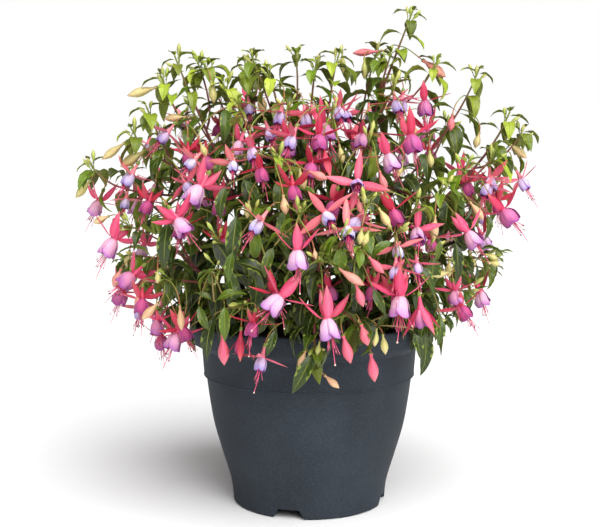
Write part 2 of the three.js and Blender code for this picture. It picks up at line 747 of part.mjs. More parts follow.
// The moulded pot: one skin of even wall, a step under the rim band, a slanted rim and a rolled lip
function potSolid() {
  const inside = body.slice(1).reverse().map(([radius, height]) => [radius - wall, height]);
  const foot = bodyOutline[0][0];
  const outline = [
    [0, floorUnderside],
    [foot - footRingWidth, floorUnderside],
    [foot - footRingWidth, padHeight],
    ...body,
    [bandRadius, bandFoot],
    [bandTopRadius, rimUnderside],
    [rimRadius, rimUnderside + rimSlant],
    [rimRadius, potHeight - 3],
    [rimRadius - lipWidth / 2, potHeight],
    [rimInnerRadius, rimUnderside + 10],
    [bandRadius - wall, rimUnderside - 3],
    ...inside,
    [foot - wall, floorTop],
    [0, floorTop],
  ];
  let solid = solidOf(lathe(outline, potSides));
  for (let quarter = 0; quarter < 4; quarter += 1) {
    const turn = radians(notchTurn + 90 * quarter);
    for (const angle of padAngles) solid = solid.add(footPad(turn + radians(angle)));
    solid = solid.subtract(footNotch(turn)).subtract(drainHole(turn));
  }
  return solid;
}

// A low pad under the foot ring, sunk half a millimetre into it
function footPad(turn) {
  const outer = bodyOutline[0][0] - 1.6;
  const inner = outer - footRingWidth + 2.4;
  const half = radians(padSpan) / 2;
  const corners = [[inner, -half], [outer, -half], [outer, half], [inner, half]];
  const shape = new THREE.Shape(corners.map(([radius, angle]) =>
    new THREE.Vector2(radius * Math.cos(turn + angle), radius * Math.sin(turn + angle))));
  return solidOf(new THREE.ExtrudeGeometry(shape, { depth: padHeight + 0.5, bevelEnabled: false }));
}

// The cut for a notch, wider at the bottom, right through the foot ring along the pot's radius
function footNotch(turn) {
  const shape = new THREE.Shape([
    new THREE.Vector2(-notchBottom / 2, -1),
    new THREE.Vector2(notchBottom / 2, -1),
    new THREE.Vector2(notchTop / 2, notchHeight),
    new THREE.Vector2(-notchTop / 2, notchHeight),
  ]);
  const reach = 20;
  const cut = new THREE.ExtrudeGeometry(shape, { depth: reach, bevelEnabled: false });
  cut.rotateX(Math.PI / 2).rotateZ(Math.PI / 2 + turn);
  const from = bodyOutline[0][0] - footRingWidth - 8;
  cut.translate(from * Math.cos(turn), from * Math.sin(turn), 0);
  return solidOf(cut);
}

function drainHole(turn) {
  const cut = new THREE.CylinderGeometry(drainRadius, drainRadius, 10, drainSides).rotateX(Math.PI / 2);
  cut.translate(drainRing * Math.cos(turn), drainRing * Math.sin(turn), (floorUnderside + floorTop) / 2);
  return solidOf(cut);
}

// Compost to just under the rim, with a plain hole for each root
function compostSolid() {
  const side = wall + 2 * gap;
  const flare = (rimInnerRadius - bandRadius + wall) / 13;
  const outline = [
    [0, floorTop + gap],
    [body[0][0] - side, floorTop + gap],
    ...body.slice(1).map(([radius, height]) => [radius - side, height]),
    [bandRadius - side, rimUnderside - 3],
    [bandRadius - side + flare * (compostEdge - rimUnderside + 3), compostEdge],
    [0, compostTop + compostMound],
  ];
  let solid = solidOf(lathe(outline, potSides));
  for (const { root } of stems) {
    const hole = new THREE.CylinderGeometry(holeRadius, holeRadius, 2 * rootDepth, holeSides);
    hole.rotateX(Math.PI / 2).translate(root[0], root[1], compostTop - gap);
    solid = solid.subtract(solidOf(hole));
  }
  return solid;
}

const part = new THREE.Group();

function addMesh(name, geometry, finish) {
  geometry.computeVertexNormals();
  const mesh = new THREE.Mesh(geometry, finish);
  mesh.name = name;
  part.add(mesh);
}

const potBody = potSolid();
keep(potBody, "pot");
addMesh("pot", geometryOf(potBody), material("#3f454b", 0.62));
const compost = compostSolid();
keep(compost, "compost");
addMesh("compost", geometryOf(compost), material("#3a2a1e", 0.95));

// Stems and side shoots first, because everything else grows from them
const branches = [];

function addBranch(stem, setting) {
  const branch = new Branch(setting);
  branch.stem = stem;
  branches.push(branch);
  keep(solidOf(plainTube(branch, setting.testFrom ?? 0)), branch);
  return branch;
}

const trunks = stems.map(({ root, tips }, stem) => {
  const end = place(tips[0]);
  const curve = mainShoot(root, end);
  const side = sideOf(curve.getPoint(0), end);
  const peg = rootDepth + collarHeight;
  return addBranch(stem, { curve, side, from: stemRadius, to: tipRadius, nodes: forkNodes, peg });
});
stems.forEach(({ tips }, stem) => {
  tips.slice(1).forEach((tip, node) => {
    const trunk = trunks[stem];
    const end = place(tip);
    const fork = forkNodes[node];
    const facet = trunk.freeFacet(node, end.clone().sub(trunk.curve.getPoint(fork)));
    const curve = sideShoot(trunk.curve, fork, trunk.facetDirection(fork, facet), end);
    const side = sideOf(curve.getPoint(0), end);
    const branch = addBranch(stem, { curve, side, from: forkRadius, to: tipRadius, nodes: [], testFrom: 0.1 });
    trunk.children[node][facet] = branch;
  });
});

// Blooms are turned on their own axis, and at last moved outwards, until they stand clear
function settleBloom({ at, open, size, ...lean }) {
  const hanging = hangingDirection(lean);
  const collar = place(at);
  const outward = new THREE.Vector3(collar.x, collar.y, 0).normalize();
  for (let push = 0; push < 5; push += 1) {
    for (let step = 0; step < 6; step += 1) {
      const seat = collar.clone().addScaledVector(hanging, -bloom.tubeLength * size)
        .addScaledVector(outward, 3 * push);
      const piece = new Bloom({ seat, hanging, turn: radians(15 * step), open, size });
      if (isClear(bodyOf(piece, gap))) return piece;
    }
  }
  return null;
}

const flatEnd = { weave: (skin, ring) => skin.endCap(ring) };

// The places from which a stalk can hang something, the nearest first: a node, or a place for a new one
function perches(top, hanging) {
  const above = top.clone().addScaledVector(hanging, -14);
  const found = [];
  for (const branch of branches) {
    if (branch.isTwig) continue;
    for (let t = 0.2; t <= lastNode; t += 0.03) {
      const foot = branch.curve.getPoint(t);
      const near = branch.nodes.findIndex((other) => branch.curve.getPoint(other).distanceTo(foot) < nodeReach);
      if (near >= 0) foot.copy(branch.curve.getPoint(branch.nodes[near]));
      const climb = Math.max(above.z - foot.z, 0);
      const cost = foot.distanceTo(above) + 0.6 * climb + (near < 0 ? 5 : 0);
      found.push({ branch, near, t, foot, cost });
    }
  }
  return found.sort((a, b) => a.cost - b.cost).slice(0, 60);
}

// A stalk leaves its shoot at a facet, arches over and comes down along the axis of what hangs from it
function stalkCurve(foot, facing, top, hanging, bend) {
  const length = foot.distanceTo(top);
  const across = sideOf(foot, top);
  const leaving = foot.clone().addScaledVector(facing, 0.26 * length).addScaledVector(up, 0.16 * length)
    .addScaledVector(across, bend * length);
  const arriving = top.clone().addScaledVector(hanging, -Math.min(0.42 * length, 20));
  return new THREE.CubicBezierCurve3(foot, leaving, arriving, top);
}

function hangFrom(top, hanging, end) {
  for (const { branch, near, t, foot } of perches(top, hanging)) {
    const length = foot.distanceTo(top);
    const towards = top.clone().sub(foot).normalize();
    const facet = near < 0 ? branch.facetTowards(t, towards) : branch.freeFacet(near, towards);
    if (facet < 0) continue;
    const facing = branch.facetDirection(near < 0 ? t : branch.nodes[near], facet);
    for (const bend of [0, 0.2, -0.2, 0.4, -0.4]) {
      const isTwig = length > twigFrom;
      const setting = {
        curve: stalkCurve(foot, facing, top, hanging, bend),
        side: sideOf(foot, top),
        from: isTwig ? twigRadius : stalkRadius,
        to: stalkRadius,
        nodes: isTwig ? twigNodes : [],
        bends: length > shortStalk ? [0.25, 0.75] : [0.5],
        testFrom: Math.min(0.4, (3 + branch.radiusAt(t)) / length),
      };
      if (!isClear(solidOf(plainTube(setting, setting.testFrom, gap)), branch)) continue;
      const stalk = addBranch(branch.stem, setting);
      stalk.isTwig = true;
      stalk.end = end;
      branch.children[near < 0 ? branch.addNode(t) : near][facet] = stalk;
      return true;
    }
  }
  return false;
}

const openBlooms = blooms.map((entry) => {
  const piece = settleBloom(entry);
  keep(bodyOf(piece), piece);
  return { piece, age: entry.age };
});
openBlooms.forEach(({ piece }) => {
  const stalkEnd = piece.seat.clone().addScaledVector(piece.hanging, -gap);
  hangFrom(stalkEnd, piece.hanging, flatEnd);
});
innerBlooms.forEach((entry) => {
  const piece = settleBloom(entry);
  const stalkEnd = piece.seat.clone().addScaledVector(piece.hanging, -bloomJoin);
  if (hangFrom(stalkEnd, piece.hanging, piece)) keep(bodyOf(piece), piece);
});
buds.forEach((entry) => {
  const hanging = hangingDirection(entry);
  const piece = new Bud({ top: place(entry.at), hanging, length: entry.length, width: entry.width });
  if (isClear(bodyOf(piece, gap)) && hangFrom(piece.top, hanging, piece)) keep(bodyOf(piece), piece);
});

// A leaf is turned about its shoot, and at last left off, until it stands clear of everything else
function growLeaf(branch, node, facet, length, droop) {
  if (branch.children[node][facet]) return;
  const t = branch.nodes[node];
  const tangent = branch.curve.getTangent(t);
  const axes = crossAxes(tangent, branch.side);
  const facing = branch.facetDirection(t, facet);
  const foot = branch.curve.getPoint(t).addScaledVector(facing, 0.7 * branch.radiusAt(t));
  for (const turn of [0, 16, -16, 32, -32]) {
    for (const more of [0, 0.35, -0.3]) {
      const spoke = spokeAt(axes, (facet * Math.PI) / 2 + radians(turn));
      const forward = spoke.clone().multiplyScalar(0.86).addScaledVector(tangent, 0.5).normalize();
      const lift = up.clone().addScaledVector(forward, -forward.z);
      if (lift.lengthSq() < 0.05) lift.copy(tangent).addScaledVector(forward, -tangent.dot(forward));
      lift.normalize();
      const piece = new Leaf({ foot, forward, lift, length, droop: droop + more });
      if (!isClear(bodyOf(piece, gap), branch)) continue;
      keep(bodyOf(piece), piece);
      branch.children[node][facet] = piece;
      return;
    }
  }
}

// Leaf pairs stand at every node, and at new nodes wherever the next one would be too far away
function addLeafNodes(branch, first) {
  const length = branch.curve.getLength();
  const count = Math.ceil(((lastNode - first) * length) / leafSpacing);
  for (let step = 0; step <= count; step += 1) {
    const t = first + ((lastNode - first) * step) / count;
    const free = branch.nodes.every((other) => Math.abs(other - t) * length > 0.45 * leafSpacing);
    if (free || step === count) branch.addNode(t);
  }
}

branches.forEach((branch, index) => {
  if (!branch.isTwig) addLeafNodes(branch, branch.peg > 0 ? firstLeaf.main : firstLeaf.side);
  const random = randomFrom(index + 1);
  random();
  const order = [...branch.nodes.keys()].sort((a, b) => branch.nodes[a] - branch.nodes[b]);
  order.forEach((node, place) => {
    const t = branch.nodes[node];
    const reach = Math.max(0, (t - 0.3) / 0.7);
    const grown = leaf.longest + (leaf.shortest - leaf.longest) * reach ** 1.5 + leaf.variation * random();
    const length = branch.isTwig ? leaf.onTwig : grown;
    const droop = 0.35 + 0.85 * random() * (1 - 0.5 * reach);
    const first = place % 2;
    const pair = random() < leaf.pairShare || place === order.length - 1;
    const start = random() < 0.5 ? first : first + 2;
    if (t < 0.29 && branch.peg > 0) return;
    const facets = pair ? [start, (start + 2) % 4] : [start];
    for (const facet of facets) growLeaf(branch, node, facet, length, droop);
  });
});

trunks.forEach((trunk, stem) => {
  const skin = new Skin();
  trunk.weave(skin, null);
  addMesh(`leafy_stem_${String(stem + 1).padStart(2, "0")}`, skin.geometry(), material("#4f7a2c", 0.5));
});
openBlooms.forEach(({ piece, age }, index) => {
  const skin = new Skin();
  piece.weave(skin, null);
  addMesh(`bloom_${String(index + 1).padStart(2, "0")}`, skin.geometry(), material(ageColours[age], 0.6));
});

export default part;
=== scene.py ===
import random
from functools import partial
from math import atan, cos, hypot, pi, radians, sin, sqrt, tan
import bpy
import numpy as np
from mathutils import Matrix, Vector


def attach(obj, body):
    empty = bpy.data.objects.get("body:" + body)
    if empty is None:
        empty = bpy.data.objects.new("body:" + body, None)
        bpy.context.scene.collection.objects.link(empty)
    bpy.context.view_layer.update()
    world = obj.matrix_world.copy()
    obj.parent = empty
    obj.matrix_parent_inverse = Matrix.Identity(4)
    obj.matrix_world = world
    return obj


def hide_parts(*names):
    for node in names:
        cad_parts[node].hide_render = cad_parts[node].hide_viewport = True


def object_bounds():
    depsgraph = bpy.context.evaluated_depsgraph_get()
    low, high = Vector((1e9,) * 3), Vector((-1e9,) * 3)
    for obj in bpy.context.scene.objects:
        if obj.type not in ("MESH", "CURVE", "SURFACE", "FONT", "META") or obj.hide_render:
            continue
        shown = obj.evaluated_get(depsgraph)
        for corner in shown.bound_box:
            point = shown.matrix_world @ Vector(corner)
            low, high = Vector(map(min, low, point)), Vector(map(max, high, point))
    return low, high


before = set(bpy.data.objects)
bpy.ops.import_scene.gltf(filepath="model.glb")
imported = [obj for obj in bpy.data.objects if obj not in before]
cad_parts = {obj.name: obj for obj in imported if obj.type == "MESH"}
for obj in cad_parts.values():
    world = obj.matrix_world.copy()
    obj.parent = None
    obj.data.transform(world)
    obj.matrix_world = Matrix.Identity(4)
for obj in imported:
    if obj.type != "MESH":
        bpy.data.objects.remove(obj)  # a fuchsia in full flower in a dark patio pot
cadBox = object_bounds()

mm = 0.001
up = Vector((0, 0, 1))
toViewer = Vector((0, -1, 0))

# The viewer's place in millimetres, the lens in pixels, and where the horizon lies in the frame
viewer = {"distance": 1104, "height": 341, "pitch": 2.5, "axisRight": 9, "focal": 1104, "horizon": 159,
          "frameWidth": 600, "frameHeight": 527}

# The crown's outer shape in millimetres, which gives each spot of the front view its depth
crown = {"radius": 228, "middle": 268, "above": 232, "below": 180, "edge": 26, "depthShare": 0.87}

# Where random choices start, and the first number of each group of blooms
seeds = {"stalks": 77, "bloom": 500, "twig": 900, "rosette": 3000}
firstNumbers = {"inner": 100, "back": 300}


# Nodes, colours and materials

# By kind of node: the sockets that its inputs go to, the output that is given, and its settings, where
# these aren't the first sockets, the first output and Blender's own settings
usual = {"TexCoord": {"give": "Object"}, "Attribute": {"give": "Fac"}, "UVMap": {"uv_map": "petalMap"},
         "TexNoise": {"at": ("Vector", "Scale", "Detail")},
         "Bump": {"at": ("Height", "Distance", "Strength")},
         "Mix": {"at": (0, 6, 7), "give": 2, "data_type": "RGBA"}}


def fromHex(code):  # sRGB hex to linear colour
    parts = [int(code[i:i + 2], 16) / 255 for i in (1, 3, 5)]
    return [p / 12.92 if p <= 0.04045 else ((p + 0.055) / 1.055) ** 2.4 for p in parts] + [1.0]


# A bare kind is a shader node, and its operation may follow it
def addNode(tree, kind, *values, stops=None, **settings):
    kind, _, operation = kind.partition(" ")
    node = tree.nodes.new(kind if "Node" in kind else "ShaderNode" + kind)
    settings = {**usual.get(kind, {}), **settings, **({"operation": operation} if operation else {})}
    sockets = settings.pop("at", range(len(values)))
    give = settings.pop("give", 0)
    for name, value in settings.items():
        setattr(node, name, value)
    named = values[0] if values and isinstance(values[0], dict) else dict(zip(sockets, values))
    for socket, source in named.items():
        for one in source if isinstance(source, list) else [source]:
            if isinstance(one, bpy.types.NodeSocket):
                tree.links.new(one, node.inputs[socket])
            else:
                isColour = isinstance(one, str) and one.startswith("#")
                node.inputs[socket].default_value = fromHex(one) if isColour else one
    for number, (place, code) in enumerate((stops or {}).items()):
        elements = node.color_ramp.elements
        element = elements[number] if number < 2 else elements.new(place)
        element.position = place
        element.color = fromHex(code)
    return node.outputs if give is None or not node.outputs else node.outputs[give]


def makeMaterial(build, roughness, ior=1.45, subsurface=0.0, reach=(1, 0.4, 0.2), sheen=0.0, specular=0.5):
    material = bpy.data.materials.new(build.__name__)
    material.use_nodes = True
    tree = material.node_tree
    skin = tree.nodes["Principled BSDF"].inputs
    for socket, value in (("Roughness", roughness), ("IOR", ior), ("Subsurface Weight", subsurface),
                          ("Subsurface Radius", reach), ("Subsurface Scale", mm), ("Sheen Weight", sheen),
                          ("Specular IOR Level", specular)):
        skin[socket].default_value = value
    for socket, source in build(partial(addNode, tree)).items():
        tree.links.new(source, skin[socket])
    return material


# Polypropylene pot, injection moulded against a spark-eroded tool: dark slate, matt, with a fine light
# grain. The real grain is about 0.3 mm, drawn at 1.6 mm so that it shows.
def mouldedPolypropylene(add):
    place = add("TexCoord")
    grain = add("TexNoise", place, 1000 / 1.6, 2)
    base = add("ValToRGB", add("TexNoise", place, 1000 / 60, 4), stops={0.3: "#24292f", 0.7: "#2e353c"})
    fleck = add("ValToRGB", grain, stops={0.45: "#000000", 0.75: "#1c2128"})
    return {"Base Color": add("Mix", 1, base, fleck, blend_type="ADD"),
            "Roughness": add("Math MULTIPLY_ADD", grain, 0.25, 0.56),
            "Normal": add("Bump", grain, 0.3 * mm, 0.6)}


# Peat compost, milled and damp: crumbs of 2 to 5 mm, dark brown and quite matt
def peatCompost(add):
    place = add("TexCoord")
    crumbs = add("TexNoise", place, 1000 / 3.5, 5)
    return {"Base Color": add("ValToRGB", crumbs, stops={0.3: "#1d140d", 0.75: "#4a3727", 0.55: "#33251a"}),
            "Normal": add("Bump", add("TexNoise", place, 1000 / 1.2, 3), 1.2 * mm, 0.9)}


# Shoot bark, grown: woody brown at the foot, red-brown above and soft green near the tip, with streaks
# 2.5 mm apart
def shootBark(add):
    growth = add("Attribute", attribute_name="growth")
    colour = add("ValToRGB", growth, stops={0: "#4a3428", 1: "#b8604c", 0.3: "#64362e", 0.6: "#803f40",
                                            0.78: "#87463c", 0.88: "#7c7638", 0.94: "#8aa03f"})
    stretched = add("Mapping", {"Vector": add("TexCoord"), "Scale": (1, 1, 0.2)})
    streaks = add("TexNoise", stretched, 1000 / 2.5, 3)
    shade = add("ValToRGB", streaks, stops={0.3: "#a8a29a", 0.7: "#ffffff"})
    return {"Base Color": add("Mix", 0.5, colour, shade, blend_type="MULTIPLY"),
            "Normal": add("Bump", streaks, 0.2 * mm, 0.5)}


# Fuchsia leaf, grown: a waxy upper skin that shines, dull paler underside, sunken midrib and seven side
# veins a side, which lie 3 to 7 mm apart on a real leaf. Reads the leaf's own map, and its age from dark 0
# to bright 1, which on leaves low on the plant also carries painted shade.
def waxyLeaf(add):
    wide, along, _ = add("SeparateXYZ", add("UVMap"), give=None)
    young, tone, under = (add("Attribute", attribute_name=name) for name in ("young", "tone", "under"))
    across = add("Math ABSOLUTE", add("Math SUBTRACT", wide, 0.5))
    slant = add("Math MULTIPLY_ADD", across, -0.32, along)
    ridge = add("Math MULTIPLY_ADD", add("Math SINE", add("Math MULTIPLY", slant, 46)), 0.5, 0.5)
    faint = add("Math MULTIPLY", add("Math POWER", ridge, 9), 0.22)
    rib = add("Math POWER", add("Math SUBTRACT", 1.02, across), 46)
    veins = add("Math MAXIMUM", faint, rib)
    # young is the leaf's age, darkened on low leaves as painted shade
    grown = add("ValToRGB", young, stops={0: "#1f3008", 1: "#c9d954", 0.35: "#3b540d", 0.65: "#7b991f"})
    shade = add("ValToRGB", tone, stops={0: "#6c5636", 1: "#ffffd0", 0.25: "#bcb088", 0.55: "#e2e0ba"})
    upper = add("Mix", 0.8, grown, shade, blend_type="MULTIPLY")
    mottle = add("TexNoise", add("TexCoord"), 1000 / 9, 3)
    blotch = add("ValToRGB", mottle, stops={0.3: "#98a384", 0.7: "#ffffff"})
    mottled = add("Mix", 0.45, upper, blotch, blend_type="MULTIPLY")
    edge = add("Math POWER", add("Math MULTIPLY", across, 2), 12)
    light = add("Math MAXIMUM", add("Math MULTIPLY", edge, 0.16), add("Math MULTIPLY", veins, 0.32))
    veined = add("Mix", light, mottled, "#a9b455")
    lower = add("Mix", add("Math MULTIPLY", veins, 0.5), "#7f8f3c", "#b3b96a")
    lowerShade = add("Mix", 0.7, lower, shade, blend_type="MULTIPLY")
    return {"Base Color": add("Mix", under, veined, lowerShade),
            "Roughness": add("Math MULTIPLY_ADD", under, 0.25, 0.36),
            "Normal": add("Bump", add("Math SUBTRACT", 1, veins), 0.5 * mm, 0.6)}


# Sepal and tube skin, grown: thick and waxy, coral on young blooms, hot pink to crimson on older ones, with
# pale streaks 1.5 mm apart, a pale band along each sepal's middle that is painted sheen, a greenish tip and
# a green ovary at the stalk end
def waxySepal(add):
    wide, along, _ = add("SeparateXYZ", add("UVMap"), give=None)
    age, tone, under = (add("Attribute", attribute_name=name) for name in ("age", "tone", "under"))
    rich = add("ValToRGB", age, stops={0: "#e9717c", 1: "#b91f3e", 0.2: "#e65f7a", 0.4: "#de3a6c",
                                       0.6: "#d52f60", 0.8: "#cc2a50"})
    pale = add("ValToRGB", age, stops={0: "#f9bcb2", 1: "#dc5068", 0.2: "#f8a5ad", 0.4: "#f78ba6",
                                       0.6: "#ef7294", 0.8: "#e45a7a"})
    across = add("Math ABSOLUTE", add("Math SUBTRACT", wide, 0.5))
    # painted sheen: paler along each sepal's middle, deeper towards its edges; the streaks and nerves are
    # real
    middle = add("Math MULTIPLY_ADD", across, -2.1, 0.95)
    streak = add("TexNoise", add("TexCoord"), 1000 / 1.5, 2)
    patch = add("Math MULTIPLY_ADD", streak, tone, 0.38)
    nerve = add("Math SINE", add("Math MULTIPLY", wide, 40))
    lined = add("Math MULTIPLY", patch, add("Math MULTIPLY_ADD", nerve, 0.3, 0.85))
    streaksAndSheen = add("Mix", add("Math MULTIPLY", middle, lined), rich, pale)
    faced = add("Mix", under, add("Mix", 0.35, streaksAndSheen, rich), streaksAndSheen)
    tip = add("Math MULTIPLY", add("Math POWER", along, 7), 0.5)
    ovary = add("ValToRGB", add("Math ADD", along, 1), stops={0.3: "#ffffff", 0.42: "#000000"})
    return {"Base Color": add("Mix", ovary, add("Mix", tip, faced, "#b9a873"), "#7f9040"),
            "Normal": add("Bump", streak, 0.25 * mm, 0.4)}


# Corolla petal, grown: thin satin tissue, whitish and pink-veined above, lilac to violet below, darker
# inside and along its free edges. Seven veins a petal, about 2 mm apart at the rim.
def satinPetal(add):
    wide, along, _ = add("SeparateXYZ", add("UVMap"), give=None)
    age, outside = (add("Attribute", attribute_name=name) for name in ("age", "under"))
    rim = add("ValToRGB", age, stops={0: "#9d96d8", 1: "#8c2c60", 0.2: "#9682cc", 0.4: "#b878b8",
                                      0.6: "#a055a0", 0.8: "#9c357c"})
    heart = add("ValToRGB", age, stops={0: "#e4e2f6", 1: "#c04a80", 0.2: "#d8cdf0", 0.4: "#f3c0d2",
                                        0.6: "#dd92b4", 0.8: "#c65c94"})
    drift = add("TexNoise", add("TexCoord"), 1000 / 6, 3)
    shifted = add("Math SUBTRACT", add("Math MULTIPLY_ADD", drift, 0.5, along), 0.25)
    share = add("ValToRGB", shifted, stops={0.02: "#000000", 1: "#ffffff", 0.5: "#6c6c6c"})
    sine = add("Math SINE", add("Math MULTIPLY", wide, 44))
    line = add("Math POWER", add("Math MULTIPLY_ADD", sine, 0.5, 0.5), 4)
    vein = add("Math MULTIPLY", line, add("Math MULTIPLY_ADD", along, -0.4, 0.5))
    veined = add("Mix", vein, add("Mix", share, heart, rim), "#d24f92")
    sideEdge = add("Math POWER", add("Math ABSOLUTE", add("Math MULTIPLY_ADD", wide, 2, -1)), 9)
    edge = add("Math MAXIMUM", sideEdge, add("Math POWER", along, 12))
    edged = add("Mix", add("Math MULTIPLY", edge, 0.45), veined, "#7c3a9c")
    return {"Base Color": add("Mix", outside, add("Mix", 0.7, rim, "#8a2478"), edged),
            "Normal": add("Bump", sine, 0.15 * mm, 0.4)}


# Filaments and style, grown: smooth, moist and rose-red
def moistFilament(add):
    growth = add("Attribute", attribute_name="growth")
    return {"Base Color": add("ValToRGB", growth, stops={0: "#c83370", 1: "#f2a3b4", 0.7: "#e2587f"})}


# Anthers and stigma, grown: mealy with pollen grains of 0.1 mm, drawn at 0.5 mm; dull red-brown to cream
def pollenCrust(add):
    tone = add("Attribute", attribute_name="tone")
    grains = add("TexNoise", add("TexCoord"), 1000 / 0.5, 2)
    return {"Base Color": add("ValToRGB", tone, stops={0: "#5e2036", 1: "#f0dccb", 0.5: "#b2596c"}),
            "Normal": add("Bump", grains, 0.15 * mm, 0.6)}


# Bud skin, grown: four waxy sepals closed edge to edge, yellow-green when young, cream with a coral flush,
# then hot pink, with a seam between the sepals and flushed patches 5 mm wide
def waxyBud(add):
    wide, along, _ = add("SeparateXYZ", add("UVMap"), give=None)
    ripe = add("Attribute", attribute_name="young")
    body = add("ValToRGB", ripe, stops={0: "#b3c556", 1: "#f5809a", 0.25: "#d5df86", 0.45: "#ece6a4",
                                        0.6: "#f0bfa4", 0.8: "#f28892"})
    neck = add("ValToRGB", ripe, stops={0: "#7d9a3a", 1: "#e5486e", 0.4: "#aeb860", 0.65: "#e07a70"})
    patches = add("TexNoise", add("TexCoord"), 1000 / 5, 3)
    spotted = add("Mix", add("Math MULTIPLY", patches, ripe), add("Mix", along, neck, body), "#e4547a")
    cosine = add("Math COSINE", add("Math MULTIPLY", wide, 8 * pi))
    seam = add("Math POWER", add("Math MULTIPLY_ADD", cosine, 0.5, 0.5), 14)
    seamed = add("Mix", add("Math MULTIPLY", seam, 0.35), spotted, "#8f8a48")
    tip = add("Math MULTIPLY", add("Math POWER", along, 10), 0.5)
    ovary = add("ValToRGB", along, stops={0.1: "#ffffff", 0.17: "#000000"})
    return {"Base Color": add("Mix", ovary, add("Mix", tip, seamed, "#c98a72"), "#6c8436"),
            "Normal": add("Bump", add("Math SUBTRACT", 1, seam), 0.3 * mm, 0.6)}


# Painted studio floor: matt white with faint clouds a metre wide
def paintedFloor(add):
    cloud = add("TexNoise", add("TexCoord"), 1, 2)
    return {"Base Color": add("ValToRGB", cloud, stops={0.3: "#f7f7f7", 0.7: "#fbfbfb"})}


# Each with its roughness, index of refraction, share and reach of the light in its tissue, sheen and
# specular level
finishes = {build.__name__: makeMaterial(build, *skin) for build, *skin in (
    (mouldedPolypropylene, 0.6, 1.49, 0, (1, 0.4, 0.2), 0, 0.2), (peatCompost, 0.95, 1.4),
    (shootBark, 0.5, 1.42, 0.05), (waxyLeaf, 0.38, 1.45, 0.1, (0.6, 1, 0.2)),
    (waxySepal, 0.42, 1.42, 0.22, (1, 0.35, 0.3)), (satinPetal, 0.5, 1.4, 0.25, (0.9, 0.5, 0.9), 0.1),
    (moistFilament, 0.35, 1.4, 0.15, (1, 0.3, 0.3)), (pollenCrust, 0.85, 1.4),
    (waxyBud, 0.42, 1.42, 0.2, (1, 0.4, 0.3)), (paintedFloor, 0.9, 1.4))}
print("materials made")


# Geometry node trees

def makeTree(build, **inputs):  # a tree with named inputs, which ends in real meshes of one material
    tree = bpy.data.node_groups.new(build.__name__, "GeometryNodeTree")
    for label, kind in {**inputs, "Finish": "Material"}.items():
        tree.interface.new_socket(label, in_out="INPUT", socket_type="NodeSocket" + kind)
    tree.interface.new_socket("Grown", in_out="OUTPUT", socket_type="NodeSocketGeometry")
    add = partial(addNode, tree)
    given = add("NodeGroupInput", give=None)
    real = add("GeometryNodeRealizeInstances", build(add, given))
    add("NodeGroupOutput", add("GeometryNodeSetMaterial", {0: real, "Material": given["Finish"]}))
    return tree


def tubesAlongPaths(add, given):  # a round tube along each path, as thick as its points say
    line = add("GeometryNodeMeshToCurve", {"Mesh": given["Paths"]})
    ring = add("GeometryNodeCurvePrimitiveCircle", {"Radius": 1, "Resolution": given["Sides"]})
    thick = add("GeometryNodeInputNamedAttribute", {"Name": "thick"}, data_type="FLOAT")
    tube = add("GeometryNodeCurveToMesh",
               {"Curve": line, "Profile Curve": ring, "Scale": thick, "Fill Caps": True})
    return add("GeometryNodeSetShadeSmooth", tube)


def shapesOnPoints(add, given):  # one of the given shapes on each point, turned and sized as the point says
    turn, shape, size = (add("GeometryNodeInputNamedAttribute", {"Name": name}, data_type=kind)
                         for name, kind in (("turn", "FLOAT_VECTOR"), ("shape", "INT"), ("size", "FLOAT")))
    shapes = add("GeometryNodeCollectionInfo",
                 {"Collection": given["Shapes"], "Separate Children": True, "Reset Children": True})
    return add("GeometryNodeInstanceOnPoints", {"Points": given["Points"], "Instance": shapes,
                                                "Pick Instance": True, "Instance Index": shape,
                                                "Rotation": add("FunctionNodeEulerToRotation", turn),
                                                "Scale": size})


def crumbsOnSurface(add, given):  # crumbs strewn over the top of the compost
    facing = add("SeparateXYZ", add("GeometryNodeInputNormal"), give="Z")
    isTop = add("FunctionNodeCompare GREATER_THAN", {"A": facing, "B": 0.5})
    points = add("GeometryNodeDistributePointsOnFaces",
                 {"Mesh": given["Surface"], "Selection": isTop, "Density": given["Density"],
                  "Seed": given["Seed"]})
    shapes = add("GeometryNodeCollectionInfo",
                 {"Collection": given["Shapes"], "Separate Children": True, "Reset Children": True})
    angles = add("FunctionNodeRandomValue", {0: (0, 0, 0), 1: (6.3, 6.3, 6.3), "Seed": given["Seed"]},
                 data_type="FLOAT_VECTOR")
    size = add("FunctionNodeRandomValue", {2: given["Smallest"], 3: given["Largest"], "Seed": given["Seed"]},
               give=1, data_type="FLOAT")
    placed = add("GeometryNodeInstanceOnPoints",
                 {"Points": points, "Instance": shapes, "Pick Instance": True, "Scale": size,
                  "Rotation": add("FunctionNodeEulerToRotation", angles)})
    return add("GeometryNodeJoinGeometry", [given["Surface"], placed])


trees = {"tubes": makeTree(tubesAlongPaths, Paths="Geometry", Sides="Int"),
         "shapes": makeTree(shapesOnPoints, Points="Geometry", Shapes="Collection"),
         "crumbs": makeTree(crumbsOnSurface, Surface="Geometry", Shapes="Collection", Density="Float",
                            Smallest="Float", Largest="Float", Seed="Int")}
print("node trees made")


def intoScene(name, data):
    item = bpy.data.objects.new(name, data)
    bpy.context.scene.collection.objects.link(item)
    return item


def grow(tree, source, inputs):  # runs a tree on a mesh and gives the result as a plain mesh
    holder = intoScene("growing", source)
    modifier = holder.modifiers.new("grow", "NODES")
    modifier.node_group = tree
    for item in tree.interface.items_tree:
        if item.in_out == "INPUT" and item.name in inputs:
            modifier[item.identifier] = inputs[item.name]
    graph = bpy.context.evaluated_depsgraph_get()
    grown = bpy.data.meshes.new_from_object(holder.evaluated_get(graph), preserve_all_data_layers=True,
                                            depsgraph=graph)
    bpy.data.objects.remove(holder)
    return grown


# Meshes from plain lists

